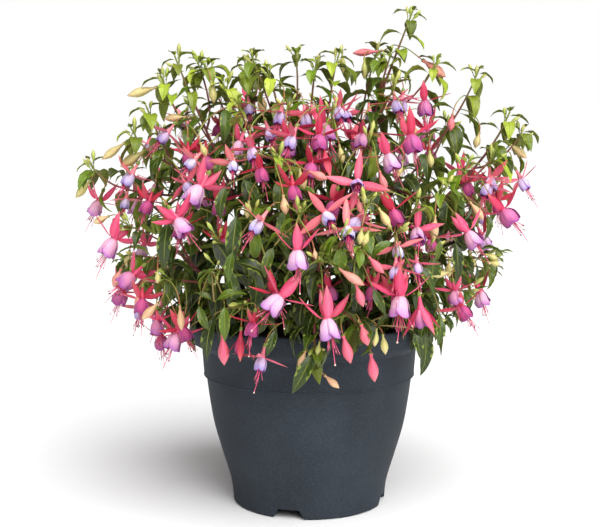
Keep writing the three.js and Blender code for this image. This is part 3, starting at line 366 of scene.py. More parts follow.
def meshOf(name, points, faces, edges=(), values=None, spread=None):  # with named lists and a map
    mesh = bpy.data.meshes.new(name)
    mesh.from_pydata([tuple(p) for p in points], list(edges), faces)
    for key, numbers in (values or {}).items():
        kind = {"shape": "INT", "turn": "FLOAT_VECTOR"}.get(key, "FLOAT")
        layer = mesh.attributes.new(key, kind, "FACE" if key == "under" else "POINT")
        flat = np.array(numbers, np.int32 if kind == "INT" else np.float32).ravel()
        layer.data.foreach_set("vector" if kind == "FLOAT_VECTOR" else "value", flat)
    if spread is not None:
        corners = np.zeros(len(mesh.loops), np.int32)
        mesh.loops.foreach_get("vertex_index", corners)
        layer = mesh.uv_layers.new(name="petalMap")
        layer.data.foreach_set("uv", np.array(spread, np.float32)[corners].ravel())
    return mesh


def dressed(mesh, finish, sharpFrom=180):  # smooth, with an edge where faces meet at more than that angle
    mesh.materials.append(finishes[finish])
    mesh.shade_smooth()
    if sharpFrom < 180:
        mesh.set_sharp_from_angle(angle=radians(sharpFrom))
    return mesh


def blockFaces(count):  # bottom, top and sides of a prism, its points given below and then above
    sides = [[k, (k + 1) % count, count + (k + 1) % count, count + k] for k in range(count)]
    return [list(range(count - 1, -1, -1)), list(range(count, 2 * count)), *sides]


def sheetShell(grid, thickness):  # a closed thin shell on a grid, its two skins meeting at the border
    rows, columns = grid.shape[:2]
    normal = np.cross(np.gradient(grid, axis=0), np.gradient(grid, axis=1))
    normal /= np.maximum(np.linalg.norm(normal, axis=2, keepdims=True), 1e-12)
    lower = grid - normal * thickness
    points = [p for row in grid for p in row]
    spread = [(j / (columns - 1), i / (rows - 1)) for i in range(rows) for j in range(columns)]
    upperIndex = np.arange(rows * columns).reshape(rows, columns)
    lowerIndex = upperIndex.copy()
    for i in range(1, rows - 1):
        for j in range(1, columns - 1):
            lowerIndex[i, j] = len(points)
            points.append(lower[i, j])
            spread.append((j / (columns - 1), i / (rows - 1)))
    faces = []
    for index, order in ((upperIndex, 1), (lowerIndex, -1)):
        for i in range(rows - 1):
            for j in range(columns - 1):
                face = [index[i, j], index[i + 1, j], index[i + 1, j + 1], index[i, j + 1]]
                faces.append([int(k) for k in face[::order]])
    half = len(faces) // 2
    return points, faces, spread, [0] * half + [1] * half


def turnedShape(outline, sides, lobes=0.0):  # outline is (along, radius) pairs, closed at both ends
    points = []
    spread = []
    last = len(outline) - 1
    for i, (along, radius) in enumerate(outline):
        for k in range(sides):
            angle = 2 * pi * k / sides
            bulge = radius * (1 + lobes * cos(4 * angle))
            points.append((bulge * cos(angle), bulge * sin(angle), along))
            spread.append((k / sides, i / last))
    faces = [list(range(sides - 1, -1, -1))]
    for i in range(last):
        for k in range(sides):
            j = (k + 1) % sides
            faces.append([i * sides + k, i * sides + j, (i + 1) * sides + j, (i + 1) * sides + k])
    faces.append([last * sides + k for k in range(sides)])
    return points, faces, spread


def collectionOf(name, meshes):  # a collection outside the scene, for a tree to pick from
    collection = bpy.data.collections.new(name)
    for number, mesh in enumerate(meshes):
        collection.objects.link(bpy.data.objects.new(f"{name[:-1]}{number:02d}", mesh))
    return collection


# Leaf shapes, one unit long, from the shoot along +X with the upper side towards +Z
leafForm = {"cuts": 8, "acrossCuts": 4, "stalk": 0.12, "breadths": [0.48, 0.33], "fold": 33, "roll": 0.24,
            "wave": 0.03, "waves": 13, "thickness": 0.009, "arches": [0.45, 0.9, 1.3, 1.7, 2.1, 2.6],
            "narrowest": 0.012, "sharpFrom": 75, "seed": 5}


def leafShape(arch, breadth, dice):
    form = leafForm
    twist = dice.uniform(-0.4, 0.4)
    bend = dice.uniform(-0.12, 0.12)
    phase = dice.uniform(0, 6)
    fold = radians(form["fold"])
    right = Vector((0, 1, 0))
    grid = np.zeros((form["cuts"] + 1, form["acrossCuts"] + 1, 3))
    for i in range(form["cuts"] + 1):
        s = i / form["cuts"]
        turn = arch * s
        blade = max(0.0, (s - form["stalk"]) / (1 - form["stalk"]))
        half = breadth / 2 * max(sin(pi * blade ** 0.78), 0) ** 0.9 * (1 - 0.3 * blade ** 5)
        half = max(half, form["narrowest"])
        centre = Vector((sin(turn) / arch, bend * s * s, (cos(turn) - 1) / arch))
        normal = Vector((sin(turn), 0, cos(turn)))
        side = right * cos(twist * s) + normal * sin(twist * s)
        lift = normal * cos(twist * s) - right * sin(twist * s)
        for j in range(form["acrossCuts"] + 1):
            c = 2 * j / form["acrossCuts"] - 1
            rise = abs(c) * sin(fold) - form["roll"] * c * c
            rise += form["wave"] * 2 / breadth * abs(c) * sin(form["waves"] * s + phase + c)
            grid[i, j] = centre + side * (half * c * cos(fold)) + lift * (half * rise)
    points, faces, spread, under = sheetShell(grid, form["thickness"])
    mesh = meshOf("leafShape", points, faces, values={"under": under}, spread=spread)
    return dressed(mesh, "waxyLeaf", form["sharpFrom"])


def leafShapes():
    dice = random.Random(leafForm["seed"])
    kinds = [(arch, breadth) for arch in leafForm["arches"] for breadth in leafForm["breadths"]]
    return collectionOf("leafShapes", [leafShape(arch, breadth, dice) for arch, breadth in kinds])


# Bud shapes, one unit long, hanging from the origin towards -Z: ovary, tube, then the pointed closed sepals
budForm = {"sides": 8, "plumpness": [0.27, 0.34, 0.42], "lobes": -0.05,
           "outline": [(0, 0.2), (0.04, 0.38), (0.1, 0.36), (0.16, 0.26), (0.27, 0.46), (0.4, 0.76),
                       (0.56, 0.99), (0.72, 0.92), (0.87, 0.52), (1, 0.02)]}

# Anther and stigma, in millimetres: length and width
grainForm = {"sizes": [(2.1, 1.0), (1.7, 1.6)], "sides": 6, "lobes": 0, "steps": 5, "narrowest": 0.05}

# Crumbs, one unit across: balls with each corner moved in or out
crumbForm = {"count": 4, "corners": (0.6, 1.25), "seed": 11}


def budOutline(plump):
    return [(along, radius * plump / 2) for along, radius in budForm["outline"]]


def grainOutline(size):
    length, width = size
    angles = [pi * k / grainForm["steps"] for k in range(grainForm["steps"] + 1)]
    return [(length * (1 - cos(a)) / 2 * mm, max(width * sin(a) / 2, grainForm["narrowest"]) * mm)
            for a in angles]


def turnedShapes(name, form, outlines, finish, way=1):  # way is -1 for shapes that hang
    meshes = []
    for outline in outlines:
        points, faces, spread = turnedShape(outline, form["sides"], form["lobes"])
        points = [(x, way * y, way * z) for x, y, z in points]
        meshes.append(dressed(meshOf(name, points, faces, spread=spread), finish))
    return collectionOf(name, meshes)


def crumbShapes():
    dice = random.Random(crumbForm["seed"])
    meshes = []
    for _ in range(crumbForm["count"]):
        bpy.ops.mesh.primitive_ico_sphere_add(subdivisions=1, radius=0.5)
        ball = bpy.context.object
        for vertex in ball.data.vertices:
            vertex.co *= dice.uniform(*crumbForm["corners"])
        ball.data.materials.append(finishes["peatCompost"])
        meshes.append(ball.data)
        bpy.data.objects.remove(ball)
    return collectionOf("crumbShapes", meshes)


shapes = {"leaves": leafShapes(), "crumbs": crumbShapes(),
          "buds": turnedShapes("budShapes", budForm, map(budOutline, budForm["plumpness"]), "waxyBud", -1),
          "grains": turnedShapes("grainShapes", grainForm, map(grainOutline, grainForm["sizes"]),
                                 "pollenCrust")}
print("leaf, bud and grain shapes made")


# Places and directions of the plant

def crownDepth(across, height):
    span = crown["below"] if height < crown["middle"] else crown["above"]
    rise = (height - crown["middle"]) / span
    reach = crown["radius"] ** 2 * (1 - rise * rise) - across * across
    return crown["depthShare"] * sqrt(max(reach, crown["edge"] ** 2))


def place(spot):  # across and up as seen from the front, and layer of the crown, to metres
    across, height, layer = spot
    depth = layer * crownDepth(across, height)
    near = (viewer["distance"] - depth) / viewer["distance"]
    return Vector((across * near, -depth, viewer["height"] + (height - viewer["height"]) * near)) * mm


def nearness(point):  # how large a thing at this place is, for one that looks a millimetre long
    return 1 + point.y / mm / viewer["distance"]


def squareTo(axis, direction):
    return (direction - axis * direction.dot(axis)).normalized()


def levelled(point):
    return Vector((point.x, point.y, 0)).normalized()


def hangingDirection(lean, nod):
    return Vector((tan(radians(lean)), -tan(radians(nod)), -1)).normalized()


def endDirection(end):  # shoots lean outwards as they rise, and droop where they end low
    rise = max(shootForm["steepestDroop"],
               min(1, (end.z / mm - shootForm["levelAt"]) / shootForm["steepOver"]))
    return (levelled(end) * (1 - shootForm["gathered"] * max(rise, 0)) + up * rise).normalized()


def sideOf(start, end):
    side = Vector((start.y - end.y, end.x - start.x, 0))
    return side.normalized() if side.length > 1e-5 else Vector((1, 0, 0))


def bezierPoint(curve, t):
    a, b, c, d = curve
    return a * (1 - t) ** 3 + b * 3 * t * (1 - t) ** 2 + c * 3 * t * t * (1 - t) + d * t ** 3


def bezierTangent(curve, t):
    a, b, c, d = curve
    return ((b - a) * (1 - t) ** 2 + (c - b) * 2 * t * (1 - t) + (d - c) * t * t).normalized()


def bendPoints(curve, count):
    return [bezierPoint(curve, k / (count - 1)) for k in range(count)]


def spokeAt(shoot, t, angle):  # a direction square to the shoot
    tangent = bezierTangent(shoot["curve"], t)
    first = squareTo(tangent, shoot["side"])
    return first * cos(angle) + tangent.cross(first) * sin(angle)


def spokeTowards(shoot, t, way):
    return max((spokeAt(shoot, t, k * pi / 2) for k in range(4)), key=lambda d: d.dot(way))


def radiusAt(shoot, t):
    return shoot["from"] + (shoot["to"] - shoot["from"]) * t ** 0.75


# Leafy stems: the root's place on the compost, then the tips, the first of them on the main stem
stems = [
    ((-54, 3), [(-134, 444, 0), (-163, 395, 0.1), (-220, 340, 0)]),
    ((-26, 19), [(-87, 420, 0.1), (-64, 438, -0.2), (-120, 400, -0.5)]),
    ((-15, -20), [(-42, 432, 0.2), (-32, 346, 0.7), (-14, 448, -0.2)]),
    ((16, -18), [(8, 440, 0.1), (69, 452, -0.2), (63, 370, 0.5)]),
    ((28, 17), [(103, 488, 0.1), (169, 430, 0), (139, 316, 0.5)]),
    ((62, -9), [(200, 388, 0.1), (188, 242, 0.1), (190, 320, -0.4)]),
    ((36, -58), [(92, 273, 0.85), (51, 253, 0.95)]),
    ((3, -68), [(13, 240, 1), (6, 142, 1.1), (56, 165, 1)]),
    ((-35, -58), [(-97, 264, 0.8), (-70, 190, 0.9)]),
    ((-64, -30), [(-181, 245, 0.2), (-152, 217, 0.5), (-150, 185, 0.3)]),
    ((64, -30), [(168, 205, 0.2), (126, 170, 0.5)]),
    ((-60, 36), [(-180, 330, -0.5), (-190, 240, -0.5), (-140, 180, -0.6)]),
    ((-28, 62), [(-60, 380, -0.8), (-120, 260, -0.9), (-50, 170, -1)]),
    ((2, 70), [(10, 400, -0.8), (-40, 270, -1), (50, 260, -1)]),
    ((32, 61), [(80, 390, -0.8), (130, 260, -0.9), (60, 170, -1)]),
    ((61, 36), [(140, 380, -0.5), (185, 230, -0.6), (140, 180, -0.6)]),
]

# Short shoots that stand between the larger ones: stem, place along its main shoot, tip
shortShoots = [
    (0, 0.6, (-148, 425, 0.2)), (0, 0.72, (-112, 440, -0.1)), (0, 0.5, (-178, 372, 0.3)),
    (1, 0.62, (-72, 400, 0.3)), (1, 0.7, (-104, 436, -0.2)), (2, 0.55, (-22, 400, 0.4)),
    (2, 0.68, (-58, 446, 0)), (3, 0.6, (30, 446, 0.1)), (3, 0.5, (24, 398, 0.5)),
    (4, 0.62, (128, 440, 0.1)), (4, 0.55, (88, 420, 0.3)), (4, 0.7, (82, 446, 0.1)),
    (5, 0.6, (186, 350, 0.3)), (5, 0.75, (214, 372, 0)), (5, 0.45, (160, 340, 0.5)),
    (6, 0.5, (110, 300, 0.8)), (6, 0.6, (60, 300, 0.9)), (7, 0.5, (-10, 290, 0.9)), (7, 0.6, (34, 270, 1)),
    (8, 0.5, (-60, 290, 0.85)), (8, 0.6, (-100, 230, 0.85)), (9, 0.5, (-150, 290, 0.5)),
    (9, 0.6, (-190, 280, 0.3)), (10, 0.5, (130, 250, 0.6)), (10, 0.6, (150, 230, 0.4)),
    (11, 0.5, (-150, 370, -0.5)), (12, 0.5, (-90, 330, -0.8)), (13, 0.5, (-30, 350, -0.8)),
    (14, 0.5, (110, 330, -0.8)), (15, 0.5, (170, 320, -0.6)),
]

# Shoots, in millimetres; each kind has its radius at the start, and how grown it is there and at its tip
shootForm = {"compostTop": 162, "collar": 5, "rootDepth": 16, "tipRadius": 0.8, "forks": [0.27, 0.42],
             "sides": 7, "step": 12, "fewest": 8, "swell": (0.96, 1.12), "levelAt": 240, "steepOver": 90,
             "steepestDroop": -0.9, "gathered": 0.62, "main": (3.2, (0, 0.93)), "side": (1.45, (0.3, 0.93)),
             "short": (1.2, (0.5, 0.94)), "rim": (1.3, (0.4, 0.93))}

# Low shoots that lean out just over the pot's rim, evenly round it
rimShoots = {"count": 15, "from": 0.16, "radius": 112, "height": 196, "seed": 8}


def mainShoot(root, end):
    start = Vector((*root, shootForm["compostTop"] + shootForm["collar"])) * mm
    length = (end - start).length
    return [start, start + up * 0.42 * length, end - endDirection(end) * 0.36 * length, end]


def sideShoot(parent, t, end):
    start = bezierPoint(parent["curve"], t)
    length = (end - start).length
    facing = spokeTowards(parent, t, end - start)
    leaving = start + bezierTangent(parent["curve"], t) * 0.2 * length + facing * 0.22 * length
    return [start, leaving, end - endDirection(end) * 0.34 * length, end]


def addShoot(shoots, stem, kind, curve):
    thick, growth = shootForm[kind]
    points = bendPoints(curve, 13)
    shoots.append({"stem": stem, "kind": kind, "curve": curve, "side": sideOf(curve[0], curve[3]),
                   "from": thick * mm, "to": shootForm["tipRadius"] * mm, "growth": growth,
                   "length": sum((b - a).length for a, b in zip(points, points[1:]))})
    return shoots[-1]


def planShoots():
    shoots = []
    mains = []
    for stem, (root, tips) in enumerate(stems):
        main = addShoot(shoots, stem, "main", mainShoot(root, place(tips[0])))
        mains.append(main)
        for t, tip in zip(shootForm["forks"], tips[1:]):
            addShoot(shoots, stem, "side", sideShoot(main, t, place(tip)))
        for t, tip in [(t, tip) for owner, t, tip in shortShoots if owner == stem]:
            addShoot(shoots, stem, "short", sideShoot(main, t, place(tip)))
    dice = random.Random(rimShoots["seed"])
    for k in range(rimShoots["count"]):
        angle = 2 * pi * (k + dice.uniform(-0.2, 0.2)) / rimShoots["count"]
        outward = Vector((cos(angle), sin(angle), 0))
        stem = max(range(len(stems)), key=lambda n: Vector((*stems[n][0], 0)).dot(outward))
        tip = outward * (rimShoots["radius"] + dice.uniform(-6, 12)) * mm
        tip.z = (rimShoots["height"] + dice.uniform(-6, 16)) * mm
        start = rimShoots["from"] + dice.uniform(-0.05, 0.05)
        addShoot(shoots, stem, "rim", sideShoot(mains[stem], start, tip))
    return shoots


shoots = planShoots()
print("shoots planned:", len(shoots))

# Blooms: the collar's place, lean and nod, the sepals' opening, size, age, and turn about the bloom's axis
ages = {"pale": 0, "young": 0.2, "lilac": 0.4, "violet": 0.6, "plum": 0.8, "crimson": 1}
blooms = [
    ((-141, 368, 0.15), -38, 5, 78, 0.95, "young", 0), ((-108, 315, 0.6), -32, 15, 88, 1.15, "lilac", 10),
    ((-124, 317, 0.45), 30, 20, 95, 0.8, "young", 0), ((-114, 341, 0.5), -42, 10, 82, 0.9, "pale", 20),
    ((-133, 282, 0.76), 35, 10, 92, 1, "lilac", 5), ((-76, 339, 0.6), 2, 15, 88, 0.85, "pale", 0),
    ((-68, 360, 0.4), -20, 0, 80, 0.85, "lilac", 30), ((-48, 280, 0.85), -35, 5, 96, 1, "pale", 0),
    ((-41, 371, 0.3), 20, 8, 86, 0.9, "young", 15), ((-22, 361, 0.45), 4, 5, 90, 0.95, "violet", 0),
    ((-16, 315, 0.8), 10, 12, 84, 0.9, "crimson", 40), ((-12, 251, 1), 4, 4, 112, 1, "lilac", 6),
    ((13, 377, 0.35), 18, 4, 92, 1.1, "violet", 0), ((36, 388, 0.15), 18, 30, 92, 0.85, "young", 0),
    ((53, 367, 0.3), -6, 10, 72, 0.85, "violet", 25), ((48, 317, 0.75), -8, 62, 94, 1, "young", 0),
    ((93, 400, 0.15), -6, 8, 84, 0.9, "young", 0), ((115, 400, 0.05), 4, 4, 88, 0.95, "violet", 20),
    ((101, 366, 0.35), 12, 6, 96, 1.1, "plum", 0), ((78, 347, 0.55), 22, 10, 90, 1, "lilac", 10),
    ((16, 287, 0.9), 30, 34, 96, 1, "pale", 0), ((50, 282, 0.8), -36, 14, 98, 1, "young", 0),
    ((83, 291, 0.75), 25, 8, 84, 0.95, "crimson", 30), ((108, 272, 0.7), 0, 40, 88, 0.9, "lilac", 0),
    ((181, 323, 0.2), 2, 6, 98, 1, "young", 10), ((211, 322, 0), 26, 4, 94, 0.95, "young", 0),
    ((193, 291, 0.45), 40, 5, 96, 1.05, "plum", 20), ((158, 269, 0.5), 35, 8, 92, 1, "lilac", 0),
    ((87, 233, 0.9), -4, 18, 92, 0.9, "young", 0), ((108, 237, 0.7), 4, 10, 84, 0.8, "young", 35),
    ((92, 205, 1), -4, 5, 100, 1.1, "lilac", 8), ((152, 194, 0.5), 30, 6, 80, 0.95, "crimson", 0),
    ((18, 182, 1), 10, 6, 108, 1.1, "lilac", -8), ((-27, 204, 1), -42, 8, 104, 1.05, "lilac", 0),
    ((-47, 142, 1), -12, 5, 94, 0.9, "young", 8), ((-195, 262, 0.3), -28, 6, 94, 1.15, "lilac", 0),
    ((-175, 226, 0.45), -48, 6, 92, 1.05, "violet", 15), ((-168, 202, 0.6), -2, 6, 84, 1, "crimson", 0),
    ((-153, 180, 0.5), 4, 10, 88, 0.9, "violet", 20), ((-132, 167, 0.7), -22, 8, 96, 1, "lilac", 0),
    ((-149, 164, 0.3), 6, 0, 82, 0.85, "plum", 30), ((146, 210, 0.5), 10, 0, 84, 0.8, "violet", 0),
]

# Blooms that grow on the stems' own pieces: half open, inside the crown, between the others, and at its
# sides and back
innerBlooms = [
    ((-121, 350, 0.3), 0, 0, 80, 0.85, "crimson", 0), ((-49, 333, 0.75), 12, 0, 70, 0.85, "crimson", 0),
    ((2, 338, 0.5), 0, 8, 82, 0.9, "plum", 20), ((16, 345, 0.5), 6, 0, 24, 0.85, "crimson", 0),
    ((-69, 160, 0.95), -4, 0, 30, 0.8, "crimson", 0), ((112, 192, 0.85), 6, 0, 34, 1.05, "violet", 0),
    ((-183, 302, 0), -10, 0, 84, 0.85, "pale", 0), ((-187, 210, 0.1), -20, 0, 84, 0.95, "plum", 20),
    ((-170, 300, -0.6), -20, -10, 92, 1, "lilac", 0), ((-120, 350, -0.7), -10, -12, 90, 0.95, "young", 10),
    ((0, 370, -0.6), -8, -16, 88, 0.95, "lilac", 0), ((60, 330, -0.8), 16, -10, 92, 1.05, "lilac", 20),
    ((120, 350, -0.6), 8, -14, 90, 0.9, "plum", 0), ((170, 290, -0.6), 20, -10, 94, 1, "young", 0),
    ((-140, 230, -0.8), -16, -6, 90, 1.05, "lilac", 0), ((-70, 250, -1), 6, -14, 96, 1, "violet", 0),
    ((0, 230, -1), -10, -6, 92, 1.05, "young", 0), ((75, 240, -1), 8, -10, 94, 1, "lilac", 0),
    ((140, 210, -0.7), 14, -6, 88, 0.95, "crimson", 0), ((40, 170, -1), 4, -5, 94, 1, "plum", 0),
    ((-104, 344, 0.3), 20, 0, 84, 0.85, "plum", 0), ((-60, 396, 0), 8, 0, 84, 0.8, "young", 0),
    ((-90, 376, -0.2), -8, 0, 90, 0.85, "crimson", 0), ((26, 300, 0.6), -14, 0, 86, 0.9, "crimson", 0),
    ((-90, 300, 0.4), 0, 0, 88, 0.9, "crimson", 0), ((-210, 300, -0.2), -24, -4, 94, 0.95, "lilac", 0),
    ((172, 266, -0.5), 24, -4, 92, 0.95, "lilac", 0), ((-150, 190, -0.4), -14, -4, 92, 1, "young", 0),
    ((170, 210, -0.3), 18, -4, 92, 1, "lilac", 0), ((-60, 330, -0.9), -6, -14, 92, 1, "lilac", 0),
    ((40, 290, -1), 4, -10, 94, 1, "violet", 0), ((110, 290, -0.9), 14, -8, 92, 1, "young", 0),
    ((-110, 200, -0.9), -8, -6, 92, 1, "lilac", 0), ((0, 300, -1), 0, -10, 92, 1, "pale", 0),
    ((100, 190, -0.9), 8, -6, 92, 1, "lilac", 0), ((-30, 190, -1), -6, -4, 94, 1.05, "lilac", 0),
    ((60, 390, -0.7), 6, -12, 90, 0.9, "young", 0), ((-60, 400, -0.6), -6, -12, 90, 0.9, "violet", 0),
    ((150, 330, -0.9), 16, -8, 92, 0.95, "lilac", 0), ((-28, 388, 0.35), -12, 6, 90, 0.95, "young", 0),
    ((-4, 386, 0.3), 8, 4, 94, 0.95, "young", 0), ((28, 393, 0.25), 16, 8, 90, 0.95, "young", 0),
    ((-16, 364, 0.55), -20, 10, 94, 0.95, "young", 0), ((10, 366, 0.5), 2, 10, 84, 0.9, "plum", 0),
    ((-177, 327, 0.2), -30, 0, 94, 1, "young", 0), ((-57, 352, 0.6), 10, 14, 92, 0.95, "young", 0),
    ((86, 400, 0.2), 14, 6, 94, 0.95, "young", 0), ((38, 272, 0.9), 6, 40, 96, 1.05, "pale", 0),
    ((180, 316, 0.25), -24, 8, 96, 1, "young", 0), ((188, 300, 0.1), 6, 6, 92, 0.95, "crimson", 0),
    ((-128, 172, 0.7), 24, 6, 96, 0.9, "crimson", 0), ((-34, 208, 0.93), 16, 10, 94, 0.9, "crimson", 0),
    ((86, 207, 0.93), 24, 8, 92, 0.9, "crimson", 0), ((-56, 178, 0.95), -10, 4, 80, 0.85, "crimson", 0),
    ((-128, 276, 0.5), -10, 8, 90, 0.9, "crimson", 0), ((88, 254, 0.8), 8, 12, 92, 0.9, "pale", 0),
    ((-160, 300, 0.3), -20, 6, 92, 0.9, "crimson", 0), ((158, 318, 0.1), 10, 0, 88, 0.85, "crimson", 0),
    ((-86, 262, 0.3), 6, 0, 86, 0.85, "crimson", 0), ((-6, 268, 0.5), -6, 0, 88, 0.85, "crimson", 0),
    ((64, 214, 0.7), -8, 0, 88, 0.85, "crimson", 0), ((122, 262, 0.3), 4, 0, 90, 0.85, "crimson", 0),
    ((20, 214, 0.6), 8, 0, 86, 0.8, "plum", 0),
]

# Blooms strewn evenly over the crown's back, clear of those listed; millimetres
backForm = {"count": 40, "lowest": 190, "highest": 384, "reach": 0.78, "stride": 0.618, "apart": 34,
            "seed": 31, "layers": (-1, -0.8), "nods": (-14, -4), "openings": (84, 98),
            "sizes": (0.86, 1.05), "turns": (0, 40),
            "ages": ["young", "young", "lilac", "lilac", "violet", "plum", "crimson"]}


def backBlooms():
    form = backForm
    dice = random.Random(form["seed"])
    taken = [place(entry[0]) for entry in blooms + innerBlooms]
    entries = []
    for k in range(form["count"]):
        height = form["lowest"] + (form["highest"] - form["lowest"]) * (k + 0.5) / form["count"]
        rise = (height - crown["middle"]) / crown["above"]
        widest = form["reach"] * crown["radius"] * sqrt(1 - rise * rise)
        spot = (widest * (2 * (k * form["stride"] % 1) - 1), height, dice.uniform(*form["layers"]))
        turned = (spot[0] / 10, *(dice.uniform(*form[key]) for key in ("nods", "openings", "sizes")))
        if min((place(spot) - other).length for other in taken) > form["apart"] * mm:
            taken.append(place(spot))
            entries.append((spot, *turned, dice.choice(form["ages"]), dice.uniform(*form["turns"])))
    return entries


# Closed buds: the upper end's place, lean, nod, length, width and ripeness
buds = [
    ((-87, 166, 0.95), 3, 0, 33, 12, 0.95), ((34, 165, 1), 15, 0, 31, 11, 0.95),
    ((62, 147, 1), 8, 0, 31, 10.5, 0.95), ((74, 166, 1), 8, 0, 22, 7.5, 0.3),
    ((68, 172, 1), -6, 0, 20, 7, 0.3), ((52, 176, 1), 18, 0, 24, 9.5, 0.8),
    ((-150, 413, 0.1), -74, 0, 33, 9, 0.4), ((-183, 358, 0.1), -54, 0, 30, 8.5, 0.4),
    ((-163, 350, 0.1), -57, 0, 31, 9.5, 0.35), ((-122, 383, 0.1), -86, 0, 23, 7.5, 0.45),
    ((-218, 321, 0), -40, 0, 25, 8, 0.3), ((-104, 434, -0.1), 28, 0, 20, 7, 0.2),
    ((-98, 420, 0.1), 8, 0, 24, 8.5, 0.3), ((-49, 408, 0.1), 10, 0, 22, 9, 0.45),
    ((70, 448, -0.1), -86, 0, 27, 8, 0.75), ((112, 440, 0), 54, 0, 30, 10, 0.6),
    ((55, 442, 0), 0, 0, 22, 6, 0.2), ((33, 448, 0), 2, 0, 22, 6, 0.25),
    ((170, 368, 0.1), -15, 0, 17, 8, 0.4), ((199, 357, 0), 50, 0, 24, 8.5, 0.4),
    ((143, 386, 0.2), -8, 0, 18, 7.5, 0.75), ((160, 299, 0.4), 38, 0, 24, 9, 0.5),
    ((126, 286, 0.6), -3, 0, 27, 8.5, 0.5), ((28, 232, 0.95), 57, 0, 33, 9.5, 0.6),
    ((47, 216, 0.98), 18, 0, 25, 9, 0.85), ((59, 244, 0.95), 42, 0, 24, 8.5, 0.85),
    ((15, 124, 1.08), 48, 0, 21, 7, 0.5), ((-3, 149, 1.05), -22, 0, 20, 7.5, 0.5),
    ((11, 158, 1.03), -12, 0, 16, 5, 0.2), ((69, 293, 0.9), 31, 0, 24, 8, 0.4),
    ((49, 302, 0.85), 12, 0, 16, 8, 0.65), ((53, 272, 0.95), -8, 0, 17, 6.5, 0.3),
    ((60, 270, 0.95), -20, 0, 17, 6.5, 0.3), ((-152, 230, 0.7), 0, 0, 14, 6, 0.3),
    ((-171, 210, 0.6), -4, 0, 22, 8, 0.6), ((-151, 197, 0.7), -45, 0, 25, 9, 0.5),
    ((-130, 195, 0.75), 4, 0, 27, 7, 0.5), ((-200, 284, 0.2), -66, 0, 18, 7, 0.45),
    ((-188, 232, 0.3), -24, 0, 22, 9, 0.6), ((-26, 306, 0.85), 8, 0, 21, 8, 0.5),
    ((-10, 332, 0.7), 14, 0, 22, 9, 0.4), ((-1, 329, 0.75), 66, 0, 21, 8, 0.65),
    ((-109, 358, 0.5), 24, 0, 16, 8, 0.3), ((-58, 348, 0.6), 70, 0, 15, 5, 0.25),
    ((5, 252, 0.98), 10, 0, 12, 6, 0.5), ((176, 246, 0.3), 70, 0, 14, 5.5, 0.3),
    ((178, 238, 0.3), 80, 0, 14, 5.5, 0.3), ((143, 228, 0.6), -78, 0, 21, 7, 0.35),
    ((30, 356, 0.5), 12, 0, 20, 7, 0.35), ((70, 330, 0.6), 18, 0, 23, 8.5, 0.7),
    ((94, 340, 0.5), -20, 0, 20, 7.5, 0.35), ((120, 350, 0.3), 6, 0, 18, 7, 0.3),
    ((-60, 300, 0.7), -6, 0, 19, 7.5, 0.35), ((140, 240, 0.5), 0, 0, 18, 7, 0.35),
    ((-180, 250, -0.2), -10, 0, 18, 7.5, 0.4), ((190, 300, -0.3), 14, 0, 19, 7.5, 0.4),
    ((-150, 360, -0.6), -30, -10, 22, 8.5, 0.5), ((-30, 390, -0.7), 10, -14, 23, 8.5, 0.4),
    ((100, 380, -0.7), 20, -10, 22, 8.5, 0.5), ((10, 300, -1), 4, -8, 23, 9, 0.6),
    ((-100, 290, -0.9), -8, -6, 24, 9.5, 0.8), ((160, 250, -0.7), 14, -6, 22, 8.5, 0.4),
    ((60, 220, -1), 0, -4, 22, 8.5, 0.8), ((-100, 230, -0.9), 0, -4, 21, 8.5, 0.5),
    ((120, 240, -0.8), 8, -4, 21, 8.5, 0.4), ((-20, 340, -0.9), 0, -8, 21, 7.5, 0.4),
    ((30, 340, -0.9), 0, -8, 21, 7.5, 0.3),
]

# Large leaves that stand out in the front view: foot and tip in the view, layer, and age from dark 0
# to bright 1
largeLeaves = [
    ((6, 150), (-11, 103), 1.05, 0.25), ((104, 170), (110, 139), 0.95, 0.1),
    ((115, 172), (118, 124), 0.85, 0.15), ((-95, 185), (-107, 139), 0.9, 0.15),
    ((-120, 172), (-116, 146), 0.6, 0.1), ((-72, 290), (-72, 235), 0.85, 0.15),
    ((-140, 284), (-139, 231), 0.65, 0.15), ((-81, 316), (-91, 281), 0.65, 0.35),
    ((-67, 322), (-46, 293), 0.65, 0.35), ((-75, 251), (-84, 217), 0.9, 0.4),
    ((-34, 255), (-47, 223), 0.9, 0.4), ((-35, 220), (-79, 234), 0.82, 0.05),
    ((-100, 268), (-66, 208), 0.7, 0.05), ((-95, 197), (-62, 203), 0.98, 0.5),
    ((-96, 198), (-115, 205), 0.95, 0.5), ((-111, 196), (-103, 168), 0.95, 0.45),
    ((-85, 197), (-80, 158), 0.98, 0.5), ((-33, 172), (-39, 142), 1.0, 0.2),
    ((146, 261), (146, 220), 0.6, 0.05), ((130, 262), (129, 238), 0.7, 0.5),
    ((177, 288), (178, 260), 0.4, 0.3), ((131, 186), (127, 154), 0.75, 0.3),
    ((63, 214), (74, 183), 0.98, 0.35), ((83, 186), (66, 172), 1.0, 0.3), ((86, 258), (61, 243), 0.9, 0.4),
    ((-30, 232), (-46, 196), 0.8, 0.05), ((14, 236), (-16, 214), 0.85, 0.15),
    ((104, 236), (128, 206), 0.7, 0.2),
]


# What a piece is grown from: paths for tubes, points for scattered shapes, and petal shells
listed = {"bark silk": "points edges thick growth",
          "leaves buds grains": "points turn size shape tone young",
          "waxySepal satinPetal": "points faces spread under age tone"}


def newParts():
    return {key: {name: [] for name in names.split()} for keys, names in listed.items()
            for key in keys.split()}


def addPath(paths, points, thick, growth):
    first = len(paths["points"])
    paths["points"] += points
    paths["edges"] += [(first + k, first + k + 1) for k in range(len(points) - 1)]
    paths["thick"] += thick
    paths["growth"] += growth


